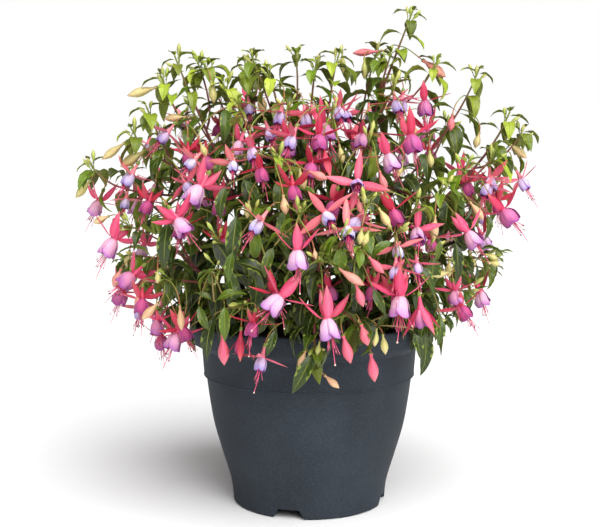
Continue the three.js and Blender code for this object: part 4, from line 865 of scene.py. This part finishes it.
def addShape(scatter, point, forward, lift, size, shape, tone, young):
    lift = squareTo(forward, lift)
    turned = Matrix((forward, lift.cross(forward), lift)).transposed().to_euler()
    for key, value in (("points", point), ("turn", tuple(turned)), ("size", size), ("shape", shape),
                       ("tone", tone), ("young", young)):
        scatter[key].append(value)


def addShell(shells, points, faces, spread, under, age, tone):
    first = len(shells["points"])
    shells["faces"] += [[first + k for k in face] for face in faces]
    for key, values in (("points", points), ("spread", spread), ("under", under),
                        ("age", [age] * len(points)), ("tone", [tone] * len(points))):
        shells[key] += values


def mergeParts(target, source):  # puts a bloom's own parts into those of a stem
    for key, group in source.items():
        first = len(target[key]["points"])
        for name, values in group.items():
            if name in ("faces", "edges"):
                values = [[first + k for k in value] for value in values]
            target[key][name] += values


# One bloom, in millimetres down its own axis from the seat on its stalk. Rows and columns are those of one
# sepal and one petal.
bloomForm = {"tube": [(0, 0.6), (0.6, 1.3), (1.8, 1.8), (3.6, 1.9), (4.6, 1.5), (5.6, 1.3), (8, 1.6),
                      (11, 2.1), (13.4, 2.8), (14.6, 3.3), (15.6, 3.3), (16, 1)], "tubeSides": 12,
             "tubeLength": 14, "sepalCuts": (10, 5), "sepalLength": 27, "sepalWidth": 7.6, "sepalCurl": 14,
             "sepalThickness": 0.7, "collarRadius": 2.6, "collarDrop": 14.6, "petalCuts": (8, 9),
             "petalTop": 14.6, "petalSpan": 60, "bellyShares": (0.55, 0.45), "petalThickness": 0.35,
             "lap": 0.12, "filaments": 8, "filamentRadius": 0.32, "styleRadius": 0.4, "styleBeyond": 8,
             "heart": 22, "middles": (23, 9), "closedUnder": 50, "youngUnder": 0.3, "youngNod": 14,
             "silkSides": 5, "sharpFrom": 70}

# The corolla at each age: length, radius at the belly and at the rim, how far each petal's free edge comes
# to a point, and how far the stamens hang out
corollas = {"pale": (13, 5.0, 4.2, 0.24, 11), "young": (14, 5.4, 4.8, 0.24, 13),
            "lilac": (17, 6.5, 7.9, 0.3, 11), "violet": (16.5, 7.0, 7.4, 0.3, 12),
            "plum": (16.5, 7.8, 7.6, 0.26, 12), "crimson": (15, 6.2, 6.6, 0.3, 12)}


def hangingFrame(seat, hanging, turn, size):  # z down the bloom's axis, y to the side that it faces, in mm
    facing = levelled(seat)
    if seat.y < 0.03:
        facing = (facing * 0.35 + toViewer * 0.65).normalized()
    if hanging.y < -0.7:
        facing = up
    facing = squareTo(hanging, facing)
    basis = Matrix((facing.cross(hanging), facing, hanging)).transposed()
    turned = (basis @ Matrix.Rotation(turn, 3, "Z")).to_4x4()
    return Matrix.Translation(seat) @ turned @ Matrix.Scale(size * mm, 4)


def sepalGrid(angle, opening, curl, roll, length, width):
    rows, columns = bloomForm["sepalCuts"]
    grid = np.zeros((rows, columns, 3))
    spoke = Vector((cos(angle), sin(angle), 0))
    across = Vector((-sin(angle), cos(angle), 0))
    centre = spoke * bloomForm["collarRadius"] + up * bloomForm["collarDrop"]
    for i in range(rows):
        s = i / (rows - 1)
        bend = min(1, s / 0.28)
        bend *= 2 - bend
        lean = radians(opening * (0.4 + 0.6 * bend) + curl * s)
        if i > 0:
            centre = centre + (spoke * sin(lean) + up * cos(lean)) * (length / (rows - 1))
        inner = up * sin(lean) - spoke * cos(lean)
        rolled = radians(roll) * bend
        wide = across * cos(rolled) + inner * sin(rolled)
        face = inner * cos(rolled) - across * sin(rolled)
        half = width / 2 * max(sin(pi * (0.13 + 0.87 * s) ** 0.88), 0.02) ** 1.05
        for j in range(columns):
            c = 2 * j / (columns - 1) - 1
            grid[i, j] = centre + wide * half * c - face * (0.22 * half * c * c)
    return grid


def petalGrid(turn, corolla, spreadOut, ruffle, phase):
    rows, columns = bloomForm["petalCuts"]
    above, below = bloomForm["bellyShares"]
    length, belly, rim, point, _ = corolla
    top = bloomForm["collarRadius"]
    belly = top + (belly - top) * spreadOut
    rim = top + (rim - top) * spreadOut
    grid = np.zeros((rows, columns, 3))
    for i in range(rows):
        v = i / (rows - 1)
        if v < above:
            radius = top + (belly - top) * sin(pi / 2 * v / above) ** 0.9
        else:
            radius = belly + (rim - belly) * (1 - cos(pi / 2 * (v - above) / below))
        for j in range(columns):
            u = 2 * j / (columns - 1) - 1
            angle = turn + radians(bloomForm["petalSpan"]) * u
            reach = radius * (1 + bloomForm["lap"] * u) + ruffle * v * v * sin(4.5 * u + phase)
            drop = bloomForm["petalTop"] + length * v * (1 - point * v * abs(u) ** 2.2)
            grid[i, j] = (reach * cos(angle), reach * sin(angle), drop)
    return grid


def sepalPose(dice, k, closed, isYoung):  # lift over the bloom's own opening, curl and roll, in degrees
    isSide = k % 2 == 0  # the sepals at the bloom's left and right spread, the other two turn back upright
    if closed:
        return 0, 6, dice.uniform(-8, 8)
    if isYoung:
        return dice.uniform(-22, 18), dice.uniform(-6, 22), dice.uniform(-35, 35)
    lift = dice.uniform(4, 26) if isSide else dice.uniform(34, 58)
    curl = bloomForm["sepalCurl"] + dice.uniform(-10, 12)
    return lift, curl, dice.uniform(-42, 42) if isSide else dice.uniform(-18, 18)


def addFilament(parts, dice, local, corolla, k, size):  # with its anther; the last one is the style
    length, *_, hangOut = corolla
    form = bloomForm
    isStyle = k == form["filaments"]
    angle = k * pi / 4 + dice.uniform(-0.3, 0.3)
    wide = 0.6 if isStyle else dice.uniform(1.6, 4.4)
    end = form["petalTop"] + length
    end += hangOut + form["styleBeyond"] if isStyle else hangOut - dice.uniform(0, 7)
    sway = dice.uniform(-2, 2)
    path = []
    for step in range(7):
        s = step / 6
        out = 1 + (wide - 1) * s ** 1.4
        path.append(local @ Vector((out * cos(angle) + sway * s * s, out * sin(angle),
                                    form["heart"] + (end - form["heart"]) * s)))
    radius = (form["styleRadius"] if isStyle else form["filamentRadius"]) * size * mm
    addPath(parts["silk"], path, [radius * (1 - 0.25 * s / 6) for s in range(7)], [s / 7 for s in range(7)])
    forward = (path[-1] - path[-2]).normalized()
    addShape(parts["grains"], path[-1] - forward * 0.5 * mm, forward.orthogonal().normalized(), forward,
             size, int(isStyle), 0.9 if isStyle else dice.uniform(0, 0.6), 0)


def addBloom(parts, entry, number):
    spot, lean, nod, opening, size, age, turn = entry
    form = bloomForm
    dice = random.Random(seeds["bloom"] + number)
    isYoung = ages[age] < form["youngUnder"]
    closed = opening < form["closedUnder"]
    if isYoung and spot[2] > -0.3:
        nod += form["youngNod"]
    hanging = hangingDirection(lean, nod)
    seat = place(spot) - hanging * form["tubeLength"] * size * mm
    local = hangingFrame(seat, hanging, radians(turn + dice.uniform(-12, 12)), size)
    tone = dice.random()
    years = ages[age] + dice.uniform(-0.08, 0.08)

    def send(key, points, faces, spread, under):
        addShell(parts[key], [local @ Vector(p) for p in points], faces, spread, under, years, tone)

    points, faces, spread = turnedShape(form["tube"], form["tubeSides"])
    # the tube's map puts two pale bands of the sepals' painted sheen along it
    send("waxySepal", points, faces, [(0.5 + 0.2 * sin(6.3 * u), v - 1) for u, v in spread],
         [1] * len(faces))
    for k in range(4):
        lift, curl, roll = sepalPose(dice, k, closed, isYoung)
        grid = sepalGrid(k * pi / 2 + dice.uniform(-0.12, 0.12), opening + lift, curl, roll,
                         form["sepalLength"] * dice.uniform(0.9, 1.06),
                         form["sepalWidth"] * dice.uniform(0.88, 1.08))
        send("waxySepal", *sheetShell(grid, form["sepalThickness"]))
        grid = petalGrid((k + 0.5) * pi / 2, corollas[age],
                         (0.6 if closed else 1) * dice.uniform(0.93, 1.07), dice.uniform(0.2, 0.6),
                         dice.uniform(0, 6))
        send("satinPetal", *sheetShell(grid, form["petalThickness"]))
    for k in range(0 if closed else form["filaments"] + 1):
        addFilament(parts, dice, local, corollas[age], k, size)
    return seat, hanging


# Stalks: each bloom and bud hangs from the nearest shoot, by a thin stalk that arches over. A long one
# is a twig.
stalkForm = {"radius": 0.55, "twigRadius": 1.0, "twigFrom": 56, "above": 14, "tries": 26, "first": 0.2,
             "step": 0.03, "climb": 0.6, "count": 10, "twigCount": 14, "growth": 0.88, "twigGrowth": 0.72}


def nearestPerch(above):
    best = None
    for shoot in shoots:
        for k in range(stalkForm["tries"]):
            t = stalkForm["first"] + stalkForm["step"] * k
            foot = bezierPoint(shoot["curve"], t)
            cost = (foot - above).length + stalkForm["climb"] * max(above.z - foot.z, 0)
            if best is None or cost < best[0]:
                best = (cost, shoot, t, foot)
    return best[1:]


def addStalk(top, hanging):
    form = stalkForm
    shoot, t, foot = nearestPerch(top - hanging * form["above"] * mm)
    length = (top - foot).length
    facing = spokeTowards(shoot, t, top - foot)
    bend = sideOf(foot, top) * stalkDice.uniform(-0.12, 0.12) * length
    curve = [foot, foot + facing * 0.26 * length + up * 0.16 * length + bend,
             top - hanging * min(0.42 * length, 20 * mm), top]
    isTwig = length > form["twigFrom"] * mm
    keys = ("twigRadius", "twigCount", "twigGrowth") if isTwig else ("radius", "count", "growth")
    start, count, first = (form[key] for key in keys)
    start *= mm
    last = count - 1
    addPath(stemParts[shoot["stem"]]["bark"], bendPoints(curve, count),
            [start + (form["radius"] * mm - start) * k / last for k in range(count)],
            [first + (1 - first) * k / last for k in range(count)])
    if isTwig:
        twigs.append((shoot["stem"], curve))
    return shoot["stem"]


# Leaves stand in pairs, each pair square to the last, and arch down over what is below them
foliage = {"spacing": 19, "tipSpacing": 17, "longest": 62, "shortest": 29, "slenderFrom": 36,
           "twigLeaf": 38, "skip": 0.12, "firstNode": 0.1, "lastNode": 0.93, "clearInFront": 12,
           "clearAround": 11, "potRadius": 122, "potTop": 183, "innerRadius": 108, "overCompost": 4,
           "outside": 8, "shade": 0.5, "shadeUnder": 230, "sunAbove": 370, "seed": 21, "seedStep": 7}
rosetteForm = {"whorls": [(12, 27, 2.0), (5, 21, 1.5), (1, 12, 0.8)], "budLength": (9, 16),
               "budStalk": (4, 9), "stalkRadius": 0.42, "buds": 3}


def leafPath(foot, forward, lift, length, arch):
    lift = squareTo(forward, lift)
    return [foot + forward * (sin(arch * s) / arch * length) + lift * ((cos(arch * s) - 1) / arch * length)
            for s in (0.3, 0.55, 0.8, 1)]


def inPot(point):
    around = hypot(point.x, point.y) / mm
    height = point.z / mm
    outside = around > foliage["potRadius"] or height > foliage["potTop"]
    inside = around < foliage["innerRadius"] and height > shootForm["compostTop"] + foliage["overCompost"]
    return not (outside or inside)


def outOfBox(point):
    low, high = cadBox
    margin = foliage["outside"] * mm
    return any(point[k] < low[k] - margin or point[k] > high[k] + margin for k in range(3))


def hidesBloom(path):  # no leaf grows through a corolla or stands in front of one on the crown's outside
    for centre, outward in bloomCentres:
        for point in path:
            apart = point - centre
            if apart.length < foliage["clearAround"] * mm:
                return True
            before = apart.dot(outward)
            if before > 0 and (apart - outward * before).length < foliage["clearInFront"] * mm:
                return True
    return False


def paintedShadeFactor(point):  # painted shade: low shoots carry leaves darkened for the plant's shade
    share = (point.z / mm - foliage["shadeUnder"]) / (foliage["sunAbove"] - foliage["shadeUnder"])
    return foliage["shade"] + (1 - foliage["shade"]) * min(1, max(0, share))


def addLeaf(parts, foot, spoke, tangent, length, arch, young, dice, ahead=0.5):
    forward = (spoke * 0.86 + tangent * ahead).normalized()
    lift = up - forward * forward.z
    if lift.length < 0.22:
        lift = tangent - forward * tangent.dot(forward)
    arches = leafForm["arches"]
    for extra in (0, 0.5, -0.5, -1):
        shape = min(range(len(arches)), key=lambda k: abs(arches[k] - arch - extra))
        path = leafPath(foot, forward, lift, length, arches[shape])
        if not any(inPot(p) or outOfBox(p) for p in path) and not hidesBloom(path):
            isLong = length > foliage["slenderFrom"] * mm
            addShape(parts["leaves"], foot, forward, lift.normalized(), length, 2 * shape + isLong,
                     dice.random(), young)
            return


def addLeaves(parts, shoot, number):
    form = foliage
    dice = random.Random(form["seed"] + form["seedStep"] * number)
    t = form["firstNode"]
    turn = dice.choice((0, 1))
    while t < form["lastNode"]:
        reach = {"main": max(0, (t - 0.25) / 0.75), "side": max(0, (t - 0.15) / 0.85),
                 "short": 0.35 + 0.65 * t, "rim": 0.3 + 0.4 * t}[shoot["kind"]]
        size = form["longest"] + (form["shortest"] - form["longest"]) * reach ** 1.2
        size *= dice.uniform(0.8, 1.15) * mm
        young = min(1, max(0, 0.04 + 0.8 * reach ** 1.5 + dice.uniform(-0.12, 0.18)))
        for half in (0, 1):
            if dice.random() < form["skip"]:
                continue
            spoke = spokeAt(shoot, t, turn * pi / 2 + half * pi + dice.uniform(-0.4, 0.4))
            foot = bezierPoint(shoot["curve"], t) + spoke * radiusAt(shoot, t) * 0.7
            # the leaf's colour is darkened low on the plant, painted shade
            addLeaf(parts, foot, spoke, bezierTangent(shoot["curve"], t), size, dice.uniform(1.3, 2.6),
                    young * paintedShadeFactor(foot), dice, 0.5 - 0.2 * reach)
        turn += 1
        t += (form["spacing"] + (form["tipSpacing"] - form["spacing"]) * reach) / (shoot["length"] / mm)


def addTwigLeaves(parts, curve, number):
    dice = random.Random(seeds["twig"] + number)
    twig = {"curve": curve, "side": sideOf(curve[0], curve[3])}
    for pair, t in enumerate((0.3, 0.62)):
        for half in (0, 1):
            spoke = spokeAt(twig, t, pair * pi / 2 + half * pi + dice.uniform(-0.3, 0.3))
            size = foliage["twigLeaf"] * dice.uniform(0.75, 1.15) * mm
            addLeaf(parts, bezierPoint(curve, t), spoke, bezierTangent(curve, t), size,
                    dice.uniform(1.1, 2.3), dice.uniform(0.1, 0.6), dice)


def addRosette(parts, shoot, number):  # small bright leaves and unripe buds at the end of a shoot
    form = rosetteForm
    dice = random.Random(seeds["rosette"] + number)
    end = bezierPoint(shoot["curve"], 1)
    tangent = bezierTangent(shoot["curve"], 1)
    for whorl, (back, size, arch) in enumerate(form["whorls"]):
        for half in (0, 1):
            spoke = spokeAt(shoot, 1, whorl * pi / 2 + half * pi + dice.uniform(-0.3, 0.3))
            # rosette leaves low on the plant are darkened the same way, painted shade
            addLeaf(parts, end - tangent * back * mm, spoke, tangent, size * dice.uniform(0.85, 1.2) * mm,
                    arch * dice.uniform(0.8, 1.3), dice.uniform(0.6, 1) * paintedShadeFactor(end), dice,
                    0.3 + 0.35 * whorl)
    for k in range(0 if shoot["kind"] == "rim" else form["buds"]):
        spoke = spokeAt(shoot, 1, 2.1 * k + dice.uniform(0, 1))
        pointing = (tangent * 0.7 + spoke * dice.uniform(0.2, 0.8) + up * dice.uniform(0, 0.6)).normalized()
        foot = end - tangent * (10 + 3 * k) * mm
        head = foot + pointing * dice.uniform(*form["budStalk"]) * mm
        length = dice.uniform(*form["budLength"]) * mm
        if outOfBox(head + pointing * length):
            continue
        addPath(parts["bark"], [foot, foot.lerp(head, 0.5) + spoke * 0.6 * mm, head],
                [form["stalkRadius"] * mm] * 3, [0.93] * 3)
        addShape(parts["buds"], head, pointing.orthogonal().normalized(), -pointing, length, 0,
                 dice.random(), dice.uniform(0, 0.18))


def addLargeLeaf(entry):  # hangs from a short stalk on the nearest shoot, its face to the viewer
    (footAcross, footHeight), (tipAcross, tipHeight), layer, young = entry
    foot = place((footAcross, footHeight, layer))
    chord = Vector((tipAcross - footAcross, 0, tipHeight - footHeight)) * nearness(foot) * mm
    span = chord.length
    chord.normalize()
    shoot, _, perch = nearestPerch(foot + up * 6 * mm)
    parts = stemParts[shoot["stem"]]
    facing = Vector((0.3 * foot.x, -abs(foot.y) - 40 * mm, (40 + 160 * abs(chord.x)) * mm)).normalized()
    facing = squareTo(chord, facing)
    arch = stalkDice.choice((0.9, 1.3, 1.7))
    forward = chord * cos(arch / 2) + facing * sin(arch / 2)
    lift = facing * cos(arch / 2) - chord * sin(arch / 2)
    curve = [perch, perch.lerp(foot, 0.4) + up * 3 * mm, foot - forward * 3 * mm, foot + forward * mm]
    addPath(parts["bark"], bendPoints(curve, 6), [0.7 * mm] * 6, [0.86] * 6)
    addShape(parts["leaves"], foot, forward, lift, span * arch / 2 / sin(arch / 2),
             2 * leafForm["arches"].index(arch) + 1, stalkDice.random(), young)
    bloomCentres.append((foot + chord * span * 0.45, toViewer))  # nothing hides it either


def hangBloom(parts, entry, number):
    (_, _, layer), _, _, _, size, _, _ = entry
    seat, hanging = addBloom(parts, entry, number)
    outward = levelled(seat) if layer < -0.3 else toViewer
    middles = bloomForm["middles"]  # of the corolla and the sepals, which both stay in view on the front
    for down in middles if layer > 0 else middles[:1]:
        bloomCentres.append((seat + hanging * down * size * mm, outward))
    return addStalk(seat + hanging * 0.3 * mm, hanging)


def fuseBloom(entry, number):  # a bloom that is part of the stem that it hangs on
    parts = newParts()
    mergeParts(stemParts[hangBloom(parts, entry, number)], parts)


def addBud(entry):
    spot, lean, nod, length, width, ripe = entry
    hanging = hangingDirection(lean, nod)
    top = place(spot)
    stem = addStalk(top, hanging)
    shape = min(range(3), key=lambda k: abs(budForm["plumpness"][k] - width / length))
    addShape(stemParts[stem]["buds"], top, hanging.orthogonal().normalized(), -hanging,
             length * nearness(top) * mm, shape, stalkDice.random(), ripe)


def addBark(parts, shoot):
    form = shootForm
    count = max(form["fewest"], int(shoot["length"] / mm / form["step"]))
    points = bendPoints(shoot["curve"], count)
    low, high = shoot["growth"]
    thick = [radiusAt(shoot, k / (count - 1)) * form["swell"][k % 2] for k in range(count)]
    growth = [low + (high - low) * k / (count - 1) for k in range(count)]
    if shoot["kind"] == "main":
        points.insert(0, points[0] - up * (form["rootDepth"] + form["collar"]) * mm)
        thick.insert(0, thick[0])
        growth.insert(0, 0)
    addPath(parts["bark"], points, thick, growth)


# The whole plant, sorted by the node that each part belongs to
stemParts = [newParts() for _ in stems]
flowerParts = [newParts() for _ in blooms]
bloomCentres = []
twigs = []
stalkDice = random.Random(seeds["stalks"])

for number, entry in enumerate(blooms):
    hangBloom(flowerParts[number], entry, number)
for number, entry in enumerate(innerBlooms, firstNumbers["inner"]):
    fuseBloom(entry, number)
for entry in buds:
    addBud(entry)
for entry in largeLeaves:
    addLargeLeaf(entry)
for number, entry in enumerate(backBlooms(), firstNumbers["back"]):
    fuseBloom(entry, number)
for number, shoot in enumerate(shoots):
    parts = stemParts[shoot["stem"]]
    addBark(parts, shoot)
    addRosette(parts, shoot, number)
    addLeaves(parts, shoot, number)
for number, (stem, curve) in enumerate(twigs):
    addTwigLeaves(stemParts[stem], curve, number)
print("leaves planned:", sum(len(parts["leaves"]["points"]) for parts in stemParts), "twigs:", len(twigs))


# Finished pieces

def joined(name, meshes):
    made = [intoScene(name, mesh) for mesh in meshes]
    if len(made) > 1:
        with bpy.context.temp_override(active_object=made[0], selected_editable_objects=made):
            bpy.ops.object.join()
    return made[0]


def grownMeshes(parts):
    meshes = []
    for key, tree, finish, inputs in (
            ("bark", "tubes", "shootBark", {"Sides": shootForm["sides"]}),
            ("silk", "tubes", "moistFilament", {"Sides": bloomForm["silkSides"]}),
            ("leaves", "shapes", "waxyLeaf", {"Shapes": shapes["leaves"]}),
            ("buds", "shapes", "waxyBud", {"Shapes": shapes["buds"]}),
            ("grains", "shapes", "pollenCrust", {"Shapes": shapes["grains"]})):
        values = dict(parts[key])
        points, edges = values.pop("points"), values.pop("edges", ())
        if points:
            source = meshOf(key, points, [], edges, values)
            meshes.append(grow(trees[tree], source, {**inputs, "Finish": finishes[finish]}))
    for key in ("waxySepal", "satinPetal"):
        values = dict(parts[key])
        points, faces, spread = (values.pop(name) for name in ("points", "faces", "spread"))
        if points:
            meshes.append(dressed(meshOf(key, points, faces, (), values, spread), key,
                                  bloomForm["sharpFrom"]))
    return meshes


def settle(piece, node):  # every piece rides on the one body and stands for one node
    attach(piece, "root")
    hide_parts(node)


for name, node, group in (("leafyShoot", "leafy_stem_", stemParts),
                          ("pendentBloom", "bloom_", flowerParts)):
    for number, parts in enumerate(group, 1):
        settle(joined(f"{name}{number:02d}", grownMeshes(parts)), f"{node}{number:02d}")
    print(name, "pieces made")


# The pot: one moulded skin turned about its axis, then cut and padded at the foot; millimetres
potForm = {"sides": 144, "wall": 2.2, "foot": 75.8, "footRing": 6, "floorUnder": 10, "floorTop": 12.5,
           "padHeight": 1.2, "body": [(1.2, 75.8), (22, 78.4), (49, 86.6), (77, 94.8), (102, 99.4),
                                      (125.5, 102.7)], "bandFoot": 127.3, "bandRadius": 105.5,
           "bandTop": 107.2, "rimUnder": 155, "rimSlant": 7, "rimRadius": 119.5, "lip": 5.5,
           "lipRound": 2.6, "rimInner": 112, "height": 180, "pads": [-18.5, 18.5, 45], "padSpan": 11,
           "notchTurn": -104.8, "notchHeight": 9.4, "notchTop": 20.6, "notchBottom": 32.4, "drainRadius": 5,
           "drainRing": 48, "softEdge": 0.5, "softFrom": 35, "sharpFrom": 38}


def smoothOutline(points, steps):  # a curve through the points
    padded = [points[0], *points, points[-1]]
    path = []
    for four in zip(padded, padded[1:], padded[2:], padded[3:]):
        for k in range(steps):
            t = k / steps
            path.append(tuple(0.5 * (2 * q + (r - p) * t + (2 * p - 5 * q + 4 * r - s) * t * t
                                     + (3 * q - p - 3 * r + s) * t ** 3) for p, q, r, s in zip(*four)))
    return path + [points[-1]]


def arcOutline(height, radius, bend, start, end, steps):  # angles in degrees from outwards, turning up
    angles = [radians(start + (end - start) * k / steps) for k in range(steps + 1)]
    return [(height + bend * sin(a), radius + bend * cos(a)) for a in angles]


def turnedSkin(name, outline, sides):  # outline is (height, radius) pairs from axis to axis, in millimetres
    points, faces, _ = turnedShape([(height * mm, max(radius, 0.01) * mm) for height, radius in outline],
                                   sides)
    return meshOf(name, points, faces)


def uprightBlock(name, corners, bottom, top):  # a prism over level corners, in millimetres
    points = [(x * mm, y * mm, z * mm) for z in (bottom, top) for x, y in corners]
    return meshOf(name, points, blockFaces(len(corners)))


def notchBlock(turn):  # a tapering block that points outwards through the foot
    form = potForm
    low, high = form["notchBottom"] / 2, form["notchTop"] / 2
    outline = [(-low, -1), (low, -1), (high, form["notchHeight"]), (-high, form["notchHeight"])]
    points = [((radius * cos(turn) - across * sin(turn)) * mm,
               (radius * sin(turn) + across * cos(turn)) * mm, height * mm)
              for radius in (form["foot"] - 14, form["foot"] + 8) for across, height in outline]
    return meshOf("notch", points, blockFaces(4))


def potOutline():
    form = potForm
    foot, wall, rim = form["foot"], form["wall"], form["rimRadius"]
    floorUnder, floorTop = form["floorUnder"], form["floorTop"]
    bandFoot, band, rimUnder = form["bandFoot"], form["bandRadius"], form["rimUnder"]
    slantTop = rimUnder + form["rimSlant"]
    inside = [(height, radius - wall) for height, radius in smoothOutline(form["body"][1:], 6)][::-1]
    return [(floorUnder, 0), (floorUnder, foot - form["footRing"]),
            (form["padHeight"], foot - form["footRing"]), (form["padHeight"], foot - 1),
            *smoothOutline(form["body"], 8), (bandFoot - 1.1, band - 2.5), (bandFoot - 0.9, band - 0.8),
            *arcOutline(bandFoot, band - 0.8, 0.8, -60, 60, 3), (rimUnder - 0.6, form["bandTop"]),
            (rimUnder, form["bandTop"] + 0.6), (slantTop - 1, rim - 1.4), (slantTop + 1, rim),
            *arcOutline(form["height"] - form["lipRound"], rim - form["lipRound"], form["lipRound"], 0, 90,
                        5), (form["height"] - 1.2, rim - form["lip"] + 0.6),
            (form["height"] - 3, form["rimInner"] + 0.4), (rimUnder + 10, form["rimInner"]),
            (rimUnder - 3, band - wall), *inside, (floorTop + 3, foot - wall + 0.3),
            (floorTop, foot - wall - 3), (floorTop, 0)]


def footTools():  # pads to join on, notches and drain holes to cut
    form = potForm
    tools = []
    outer = form["foot"] - 1.6
    inner = outer - form["footRing"] + 2.4
    half = radians(form["padSpan"]) / 2
    for quarter in range(4):
        turn = radians(form["notchTurn"] + 90 * quarter)
        for angle in form["pads"]:
            arc = [turn + radians(angle) - half + 2 * half * k / 5 for k in range(6)]
            corners = [(outer * cos(a), outer * sin(a)) for a in arc]
            corners += [(inner * cos(a), inner * sin(a)) for a in reversed(arc)]
            tools.append(("UNION", uprightBlock("pad", corners, 0, form["padHeight"] + 0.5)))
        tools.append(("DIFFERENCE", notchBlock(turn)))
        ring = [tuple(form["drainRing"] * way(turn) + form["drainRadius"] * way(pi * k / 12)
                      for way in (cos, sin)) for k in range(24)]
        tools.append(("DIFFERENCE",
                      uprightBlock("drain", ring, form["floorUnder"] - 4, form["floorTop"] + 4)))
    return tools


def potPiece():
    pot = joined("mouldedPot", [turnedSkin("mouldedPot", potOutline(), potForm["sides"])])
    tools = []
    for operation, mesh in footTools():
        tools.append(intoScene("footTool", mesh))
        modifier = pot.modifiers.new("cut", "BOOLEAN")
        modifier.operation = operation
        modifier.solver = "EXACT"
        modifier.object = tools[-1]
    bevel = pot.modifiers.new("softEdge", "BEVEL")
    bevel.width = potForm["softEdge"] * mm
    bevel.segments = 2
    bevel.limit_method = "ANGLE"
    bevel.angle_limit = radians(potForm["softFrom"])
    graph = bpy.context.evaluated_depsgraph_get()
    mesh = bpy.data.meshes.new_from_object(pot.evaluated_get(graph), depsgraph=graph)
    pot.modifiers.clear()
    for tool in tools:
        bpy.data.objects.remove(tool)
    mesh.materials.clear()
    pot.data = dressed(mesh, "mouldedPolypropylene", potForm["sharpFrom"])
    return pot


settle(potPiece(), "pot")
print("pot made")

# The compost: it fills the pot to just under the rim, lumpy on top and strewn with crumbs
compostForm = {"rings": 26, "sides": 72, "top": 162, "edge": 160, "mound": 3, "lumps": 1.6, "lumpWaves": 9,
               "crumbDensity": 26000.0, "smallest": 1.8, "largest": 5.0, "seed": 4, "shoulder": 152,
               "gap": 0.6}


def compostPiece():
    form = compostForm
    wall = potForm["wall"] + form["gap"]
    inside = [(height, radius - wall) for height, radius in smoothOutline(potForm["body"][1:], 4)]
    edgeRadius = potForm["bandRadius"] - wall + 0.5 * (form["edge"] - form["shoulder"])
    outline = [(potForm["floorTop"] + 0.3, 0), (potForm["floorTop"] + 0.3, potForm["foot"] - wall - 3.5),
               *inside, (form["shoulder"], potForm["bandRadius"] - wall), (form["edge"], edgeRadius)]
    rise = form["top"] + form["mound"] - form["edge"]
    for k in range(form["rings"]):
        share = 1 - (k + 1) / form["rings"]
        outline.append((form["edge"] + rise * (1 - share), edgeRadius * share))
    mesh = turnedSkin("compost", outline, form["sides"])
    dice = random.Random(form["seed"])
    waves = [(dice.uniform(0, 6), dice.uniform(0, 6), dice.uniform(0.05, 0.2))
             for _ in range(form["lumpWaves"])]
    for vertex in mesh.vertices:
        x, y, z = vertex.co / mm
        if z >= form["edge"] - 0.1:
            inward = max(0, min(1, (edgeRadius - hypot(x, y)) / 4))
            lump = sum(sin(x * f + a) * cos(y * f + b) for a, b, f in waves) / 3
            vertex.co.z += form["lumps"] * lump * inward * mm
    mesh.shade_smooth()
    inputs = {"Shapes": shapes["crumbs"], "Density": form["crumbDensity"],
              "Smallest": form["smallest"] * mm, "Largest": form["largest"] * mm, "Seed": form["seed"],
              "Finish": finishes["peatCompost"]}
    return joined("pottingCompost", [grow(trees["crumbs"], mesh, inputs)])


settle(compostPiece(), "compost")
print("compost made")

# Studio: a pale floor, a soft pale surround, a broad sun-like key light, a weak fill and the camera
studio = {"floorSize": 120, "surround": 0.2, "keyPower": 3.9, "keySpread": 70, "keyTurn": 26,
          "keyHeight": 58, "keyPlace": (1, -1, 2), "fillPlace": (0.9, -2.0, 1.2), "fillPower": 24,
          "fillSize": 1.2, "fillAim": (0, 0, 0.25), "sensor": 36}


def addLamp(name, kind, power, place, turn):
    light = bpy.data.lights.new(name, kind)
    light.energy = power
    lamp = intoScene(name, light)
    lamp.location = place
    lamp.rotation_euler = turn
    return light


def buildStudio():
    half = studio["floorSize"] / 2
    corners = [(-half, -half, 0), (half, -half, 0), (half, half, 0), (-half, half, 0)]
    floor = joined("studioFloor", [meshOf("studioFloor", corners, [[0, 1, 2, 3]])])
    floor.data.materials.append(finishes["paintedFloor"])
    turn = (radians(90 - studio["keyHeight"]), 0, radians(studio["keyTurn"]))
    key = addLamp("key", "SUN", studio["keyPower"], studio["keyPlace"], turn)
    key.angle = radians(studio["keySpread"])
    aim = Vector(studio["fillAim"]) - Vector(studio["fillPlace"])
    turn = aim.to_track_quat("-Z", "Y").to_euler()
    addLamp("fill", "AREA", studio["fillPower"], studio["fillPlace"], turn).size = studio["fillSize"]
    world = bpy.data.worlds.new("paleSurround")
    world.use_nodes = True
    tree = world.node_tree
    seen = addNode(tree, "LightPath", give="Is Camera Ray")
    strength = addNode(tree, "Math MULTIPLY_ADD", seen, 1 - studio["surround"], studio["surround"])
    tree.nodes["Background"].inputs["Color"].default_value = (1, 1, 1, 1)
    tree.links.new(strength, tree.nodes["Background"].inputs["Strength"])
    bpy.context.scene.world = world
    bpy.context.scene.view_settings.view_transform = "Standard"


def buildCamera():  # nearly level, with the frame shifted down, so that the pot's sides stay upright
    lens = bpy.data.cameras.new("frontView")
    lens.sensor_fit = "HORIZONTAL"
    lens.sensor_width = studio["sensor"]
    lens.lens = studio["sensor"] * viewer["focal"] / viewer["frameWidth"]
    centred = viewer["frameHeight"] / 2 - viewer["focal"] * tan(radians(viewer["pitch"]))
    lens.shift_y = (viewer["horizon"] - centred) / viewer["frameWidth"]
    camera = intoScene("frontView", lens)
    camera.location = (0, -viewer["distance"] * mm, viewer["height"] * mm)
    camera.rotation_euler = (radians(90 - viewer["pitch"]), 0, atan(viewer["axisRight"] / viewer["focal"]))
    bpy.context.scene.camera = camera


buildStudio()
buildCamera()

print("scene ready")
